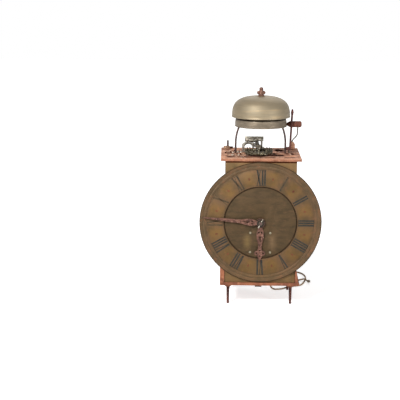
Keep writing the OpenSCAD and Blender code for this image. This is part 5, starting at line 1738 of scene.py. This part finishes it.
@dataclass
class Dial:
    """Chapter ring, dial centre, numerals and hands. Lengths are in millimetres.

    Attributes:
        centre_z: Height of the dial's middle.
        outer: Outer radius of the chapter ring.
        inner: Its inner radius.
        front: Y of its front face.
        back: Y of its back face.
        steps: Faces round it.
        circle: Radius of the engraved circle outside the numerals.
        rim_from: Radius at which the moulded rim begins.
        numeral_in: Radius of the numerals' feet.
        numeral_out: Radius of their heads.
        thick: Width of their thick strokes.
        thin: Width of their thin strokes.
        serif: Half the length of a serif.
        serif_high: Half its height.
        wax_over: How far the wax stands out of the brass.
        wax_under: How far it reaches into the brass.
        worn_hours: Hours whose wax is worn, where twelve is 0.
        faint_hours: Hours whose wax is nearly gone.
        mark_half: Half the width of a half-hour mark.
        mark_stretch: Its height by its width.
        mark_corners: Its corners.
        whole_mark: The hour before the one mark whose wax is whole.
        hand_edge: Rounding of the hands' edges.
        pin_lean: Degrees by which the cross pin leans.
        pin_half: Distance from the pin's middle line from which the collet is dark.
        head_slope: How much the flat of a rivet's head looks to the front.
        NUMERALS: The numerals from twelve on.
        WIDTHS: The room that each letter takes.
    """

    centre_z: float = 150.0
    outer: float = 105.0
    inner: float = 63.0
    front: float = -70.5
    back: float = -69.3
    steps: int = 192
    circle: float = 93.0
    rim_from: float = 97.2
    numeral_in: float = 65.0
    numeral_out: float = 91.5
    thick: float = 2.7
    thin: float = 1.1
    serif: float = 1.9
    serif_high: float = 0.35
    wax_over: float = 0.04
    wax_under: float = 0.2
    worn_hours: tuple[int, ...] = (1, 11)
    faint_hours: tuple[int, ...] = (9, 10)
    mark_half: float = 1.7
    mark_stretch: float = 1.5
    mark_corners: int = 8
    whole_mark: int = 1
    hand_edge: float = 0.35
    pin_lean: float = 27.0
    pin_half: float = 1.25
    head_slope: float = 0.97

    NUMERALS = ("XII", "I", "II", "III", "IIII", "V", "VI", "VII", "VIII", "IX", "X", "XI")
    WIDTHS = {"I": 4.1, "V": 8.8, "X": 9.0}

    def build(self) -> None:
        """Make the whole dial."""
        self.ring()
        self.hub_grime()
        self.numerals()
        self.shade_and_grime()
        self.half_hour_marks()
        self.hands()
        LOG.info("dial: ring, %d numerals, marks and hands", len(self.NUMERALS))

    def section(self) -> Outline:
        """The chapter ring's section, with an engraved circle and a moulded rim.

        Returns:
            Points (radius, y).
        """
        front, at, rim = self.front, self.circle, self.rim_from
        # one engraved circle, then a step down into the hollow of the rim, which swells again
        groove = [(at - 0.35, front), (at - 0.1, front + 0.28), (at + 0.1, front + 0.28),
                  (at + 0.35, front)]
        step = [(rim, front), (rim + 0.5, front + 0.45), (rim + 1.4, front + 0.5)]
        bead = [(rim + 4.6 - 3.0 * math.cos(a), front + 0.5 - 0.48 * math.sin(a))
                for a in (math.radians(20 * k) for k in range(1, 9))]
        return [(self.inner, self.back), (self.inner, front + 0.6), (self.inner + 0.5, front),
                *groove, *step, *bead, (self.outer - 0.2, front + 0.6),
                (self.outer, front + 0.8), (self.outer, self.back)]

    def ring(self) -> None:
        """Turn the chapter ring and give it the feet of the CAD node."""
        mesh = turned("chapter_ring", self.section(), self.steps, facing_back(self.centre_z))
        feet = bmesh.new()
        feet.from_mesh(bpy.data.objects["chapter_ring"].data)
        bmesh.ops.delete(feet, geom=[v for v in feet.verts if v.co.y < (self.back + 0.05) * MM],
                         context="VERTS")
        foot_mesh = bpy.data.meshes.new("feet")
        feet.to_mesh(foot_mesh)
        feet.free()
        work = bmesh.new()
        work.from_mesh(mesh)
        work.from_mesh(foot_mesh)
        work.to_mesh(mesh)
        work.free()
        new_piece("chapter_ring_dressed", mesh, DIAL_BRASS, FRAME_BODY, ["chapter_ring"])
        shade_by_angle(mesh, 35)

    def on_dial(self, shape: Outline, degrees: float) -> Outline:
        """Turn a shape that is drawn at twelve to its place on the dial.

        Args:
            shape: Points (across, out from the middle).
            degrees: How far round the dial it goes.

        Returns:
            Points (x, z) in the dial's plane.
        """
        turn = math.radians(degrees)
        return [(x * math.cos(turn) + y * math.sin(turn),
                 self.centre_z - x * math.sin(turn) + y * math.cos(turn)) for x, y in shape]

    def fill(self, name: str, shapes: Sequence[Outline], finish: Finish) -> None:
        """Fill engraved shapes with wax.

        Args:
            name: The piece's name.
            shapes: The shapes in the dial's plane.
            finish: The wax.
        """
        mesh = flat_prisms(name, shapes, self.front - self.wax_over, self.front + self.wax_under)
        new_piece(name, mesh, finish, FRAME_BODY)

    def stroke(self, x0: float, x1: float, wide: float) -> Outline:
        """One slanted or straight stroke of a numeral.

        Args:
            x0: Its middle at the foot of the numeral.
            x1: Its middle at the head.
            wide: Its width.

        Returns:
            The outline, x along the ring and y along the radius.
        """
        low, high, half = self.numeral_in, self.numeral_out, wide / 2
        return [(x0 - half, low), (x0 + half, low), (x1 + half, high), (x1 - half, high)]

    def letters(self, text: str) -> list[Outline]:
        """The strokes of one numeral, upright at twelve.

        Args:
            text: The numeral.

        Returns:
            Outlines in millimetres.
        """
        at = -sum(self.WIDTHS[c] for c in text) / 2
        foot, head, half, high = self.numeral_in, self.numeral_out, self.serif, self.serif_high
        shapes = []
        for letter in text:
            wide = self.WIDTHS[letter]
            mid, reach = at + wide / 2, wide / 2 - half
            if letter == "I":
                shapes.append(self.stroke(mid, mid, self.thick))
                ends = [(mid, foot), (mid, head)]
            elif letter == "V":
                shapes.append(self.stroke(mid - 0.5, mid - reach, self.thick))
                shapes.append(self.stroke(mid + 0.5, mid + reach, self.thin))
                ends = [(mid - reach, head), (mid + reach, head)]
            else:
                shapes.append(self.stroke(mid + reach, mid - reach, self.thick))
                shapes.append(self.stroke(mid - reach, mid + reach, self.thin))
                ends = [(mid + s * reach, y) for s in (-1, 1) for y in (foot, head)]
            shapes += [[(x - half, y - high), (x + half, y - high), (x + half, y + high),
                        (x - half, y + high)] for x, y in ends]
            at += wide
        return shapes

    def numerals(self) -> None:
        """Fill the twelve engraved numerals with dark wax, thinner where it is worn."""
        fresh, worn, faint = [], [], []
        for hour, text in enumerate(self.NUMERALS):
            kind = worn if hour in self.worn_hours else fresh
            if hour in self.faint_hours:
                kind = faint
            kind += [self.on_dial(shape, 30 * hour) for shape in self.letters(text)]
        self.fill("dial_numerals", fresh, WAX)
        self.fill("worn_dial_numerals", worn, WORN_WAX)
        self.fill("faint_dial_numerals", faint, FAINT_WAX)

    def half_hour_marks(self) -> None:
        """Set a small lozenge between every two hours; the wax is whole in one of them only."""
        middle = (self.numeral_in + self.numeral_out) / 2
        turns = [2 * math.pi * i / self.mark_corners for i in range(self.mark_corners)]
        lozenge = [(self.mark_half * math.cos(turn),
                    middle + self.mark_stretch * self.mark_half * math.sin(turn))
                   for turn in turns]
        marks = [self.on_dial(lozenge, 30 * hour + 15) for hour in range(12)]
        whole = marks.pop(self.whole_mark)
        self.fill("half_hour_mark", [whole], MARK_RED)
        self.fill("worn_half_hour_marks", marks, WORN_MARK)

    def washer(self, name: str, radii: Span, fronts: Span, thick: float, steps: int,
               finish: Finish, body: str = FRAME_BODY) -> None:
        """A thin dark ring round the dial's middle: dirt in some places, painted shade in others.

        Args:
            name: The piece's name.
            radii: Its inner and outer radius.
            fronts: Y of its front face at these radii.
            thick: Its thickness.
            steps: Faces round it.
            finish: Its finish.
            body: The body that it moves with.
        """
        (low, high), (near, far) = radii, fronts
        outline = [(low, near), (high, far), (high, far + thick), (low, near + thick)]
        new_piece(name, turned(name, outline, steps, facing_back(self.centre_z)), finish, body)

    def shade_and_grime(self) -> None:
        """Dark lines: painted shade at the centre's corner and the ring's bevel and edge; grime in
        its circles.
        """
        front = self.front
        for name, radii, fronts, finish in (
            # The corner, bevel and outer edge lines are painted shade; the circle and rim lines
            # are grime.
            ("centre_corner_shade", (60.9, 62.95), (-69.42, -69.42), DIAL_LINE_SHADE),
            ("inner_bevel_shade", (63.05, 63.5), (front + 0.5, front - 0.03), DIAL_LINE_SHADE),
            ("outer_circle_grime", (92.8, 93.2), (front - 0.03, front - 0.03), LINE_GRIME),
            ("rim_grime", (97.2, 98.4), (front - 0.03, front + 0.4), LINE_GRIME),
            ("outer_edge_shade", (104.0, 104.85), (front + 0.12, front + 0.4), DIAL_LINE_SHADE),
        ):
            self.washer(name, radii, fronts, thick=0.4, steps=self.steps, finish=finish)

    def hub_grime(self) -> None:
        """Black washers over the hubs, where oil and dirt gather round the collet."""
        for name, radii, front, body in (
            ("minute_hub_grime", (3.0, 6.3), self.front - 4.96, "minute_hand_set"),
            ("hour_hub_grime", (6.6, 8.0), self.front - 2.46, "hour_hand_set"),
        ):
            self.washer(name, radii, (front, front), thick=0.2, steps=64, finish=SHADE_AND_OIL_BLACK,
                        body=body)

    def hands(self) -> None:
        """Round the hands' edges and dress them, their pin and the dial centre."""
        dress("minute_hand", HAND_IRON, self.hand_edge, "minute_hand_set")
        dress("hour_hand", HAND_IRON, self.hand_edge, "hour_hand_set")
        collet = dress("hand_pin", PALE_STEEL, 0.15)
        lean = math.radians(self.pin_lean)

        def is_collet(face: bpy.types.MeshPolygon) -> bool:
            """Whether a face lies beside the cross pin."""
            corners = [collet.vertices[i].co / MM for i in face.vertices]
            return max(abs(c.x * math.cos(lean) - (c.z - self.centre_z) * math.sin(lean))
                       for c in corners) > self.pin_half

        second_finish(collet, OLIVE_IRON, is_collet)
        dress("dial_centre", CENTRE_BRASS, 0.1)
        rivets = eased_copy("dial_rivets", edge=0.38, smooth=30, segments=3)
        new_piece("dial_rivets_dressed", rivets, DULL_STEEL, FRAME_BODY, ["dial_rivets"])
        second_finish(rivets, CENTRE_BRASS, lambda face: face.normal.y > -self.head_slope)


# ---------------------------------------------------------------- bells


@dataclass(frozen=True)
class Bell:
    """One turned bell with a steep wall, a flat crown and a soft lip.

    Attributes:
        node: The CAD node that it replaces.
        radius: Radius at the rim.
        height: Height of the crown over the rim.
        rim: Height of the rim above the floor.
        finish: Its finish.
        shade_from: Height above the floor from which its outside is painted black as shade.
        wall: Its thickness.
        bore: Radius of the hole in its crown.
        POWER: How full the wall's curve is; 1 would be an ellipse.
        CURVE_POINTS: Points on that curve.
        DEGREES_APART: The angle between them.
        CROWN: Radius of the crown's flat middle.
    """

    node: str
    radius: float
    height: float
    rim: float
    finish: Finish
    shade_from: float
    wall: float = 2.0
    bore: float = 2.1

    POWER = 2 / 3
    CURVE_POINTS = 43
    DEGREES_APART = 2
    CROWN = 8.0

    def curve(self, radius: float, height: float) -> Outline:
        """The line of the wall and the crown.

        Args:
            radius: Radius at the rim.
            height: Height of the crown over the rim.

        Returns:
            Points from the rim to the crown.
        """
        turns = [math.radians(self.DEGREES_APART * k) for k in range(self.CURVE_POINTS)]
        return [*[(radius * math.cos(turn) ** self.POWER, height * math.sin(turn) ** self.POWER)
                  for turn in turns], (self.CROWN, height)]

    def build(self) -> None:
        """Turn the bell; paint its inside and its top above a given height black as shade."""
        radius, height, wall = self.radius, self.height, self.wall
        outer = self.curve(radius - 0.25, height)
        inner = self.curve(radius - wall, height - wall)
        lip = [(radius - wall + 0.3, 0.0), (radius - 0.5, 0.0), (radius, 0.5), (radius, 1.8),
               (radius - 0.3, 2.3)]
        outline = [*lip, *[p for p in outer if p[1] > 2.5], (self.bore, height),
                   (self.bore, height - wall), *reversed(inner[1:]), (radius - wall, 0.3)]
        mesh = turned(self.node, outline, steps=144, smooth=40, place=upright_at(0, 0, self.rim))
        new_piece(f"{self.node}_dressed", mesh, self.finish, FRAME_BODY, [self.node])
        # The inside and the top above that height are blackened as painted shade.
        second_finish(mesh, SHADE_AND_OIL_BLACK, self.is_black)

    def is_black(self, face: bpy.types.MeshPolygon) -> bool:
        """Whether a face belongs to the inside or lies above the height of the painted shade.

        Args:
            face: A face of the bell.

        Returns:
            True where it does.
        """
        centre = face.center / MM
        inwards = face.normal.x * centre.x + face.normal.y * centre.y < 0
        inside = (math.hypot(centre.x, centre.y) < self.radius - self.wall + 0.2
                  and centre.z < self.rim + self.height - self.wall + 0.2)
        return (inside and (inwards or face.normal.z < 0)) or centre.z > self.shade_from


@dataclass
class Bells:
    """The two bells, their stand, spacer and nut.

    Attributes:
        bells: The bells; the lower one is painted black as shade from just under the upper one's
            rim.
        CARRIERS: What carries them, with its finish and the rounding of its edges.
    """

    bells: tuple[Bell, ...] = (
        Bell("upper_bell", radius=51.0, height=36.6, rim=324.8, finish=BELL_BRASS,
             shade_from=400.0),
        Bell("lower_bell", radius=45.5, height=31.0, rim=308.4, finish=BELL_GREY,
             shade_from=323.2))

    CARRIERS = (("bell_stand", DARK_IRON, 0.1), ("bell_spacer", DARK_IRON, 0.3),
                ("bell_nut", FINIAL_IRON, 0.35))

    def build(self) -> None:
        """Make the bells and dress what carries them."""
        for bell in self.bells:
            bell.build()
        for node, finish, edge in self.CARRIERS:
            dress(node, finish, edge)
        LOG.info("bells: two bells, stand, spacer and nut")


# ---------------------------------------------------------------- movement


@dataclass
class Movement:
    """Everything that the cage carries inside and on top.

    Attributes:
        edge: Rounding of the pieces' edges.
        tooth_edge: Rounding of the crown wheel's edges.
        dark_block_from: X from which the left pin's block is dark.
        FIXED: The finish of each fixed node.
        MOVING: The finish and the body of each moving node.
        WHEELS: The wheels, which keep their own meshes.
    """

    edge: float = 0.2
    tooth_edge: float = 0.12
    dark_block_from: float = -54.0

    FIXED = {
        "verge_bridge": BRIDGE_STEEL, "bridge_bar": GREY_STEEL, "bridge_screws": PALE_STEEL,
        "front_cock": OLIVE_IRON, "rear_cock": OLIVE_IRON, "left_pin": DARK_IRON,
        "left_pin_block": TAN_BLOCK, "half_hour_post": PALE_STEEL}
    MOVING = {
        "verge": (GREY_STEEL, "verge_set"), "pendulum_rod": (GREY_STEEL, "verge_set"),
        "pendulum_bob": (WHEEL_BRASS, "verge_set"),
        "crown_wheel": (CROWN_BRASS, "crown_wheel_set"),
        "hammer_arbor": (COPPER_IRON, "hammer_set"), "hammer_stem": (GREY_STEEL, "hammer_set"),
        "hammer_head": (HAMMER_IRON, "hammer_set"),
        "half_hour_hammer": (POST_IRON, "half_hour_set"),
        "detent_arbor": (DARK_IRON, "detent_set")}
    WHEELS = (
        "minute_wheel", "hour_wheel", "motion_wheel", "driving_wheel", "going_great_wheel",
        "going_pulley", "second_wheel", "contrate_wheel", "strike_great_wheel", "strike_pulley",
        "hoop_wheel", "warning_wheel", "fly", "count_wheel")

    def build(self) -> None:
        """Dress the fixed pieces, the moving pieces and the wheels."""
        fixed = {node: dress(node, finish, self.edge) for node, finish in self.FIXED.items()}
        second_finish(fixed["left_pin_block"], SHADE_AND_RUST,
                      lambda face: face.center.x / MM > self.dark_block_from)
        for node, (finish, body) in self.MOVING.items():
            dress(node, finish, self.tooth_edge if node == "crown_wheel" else self.edge, body)
        for node in self.WHEELS:
            mesh = bpy.data.objects[node].data
            mesh.materials.clear()
            mesh.materials.append(WHEEL_BRASS.material())
        LOG.info("movement: %d pieces and %d wheels",
                 len(self.FIXED) + len(self.MOVING), len(self.WHEELS))


def main() -> None:
    """Load the frame, build each sub-assembly and set up the camera, lights, world and floor."""
    logging.basicConfig(level=logging.INFO, format="%(name)s: %(message)s")
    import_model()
    studio = Studio()
    studio.camera()
    PullCord().build()
    Cage().build()
    Dial().build()
    Bells().build()
    Movement().build()
    studio.lights()
    studio.world()
    studio.floor()


if __name__ == "__main__":
    main()
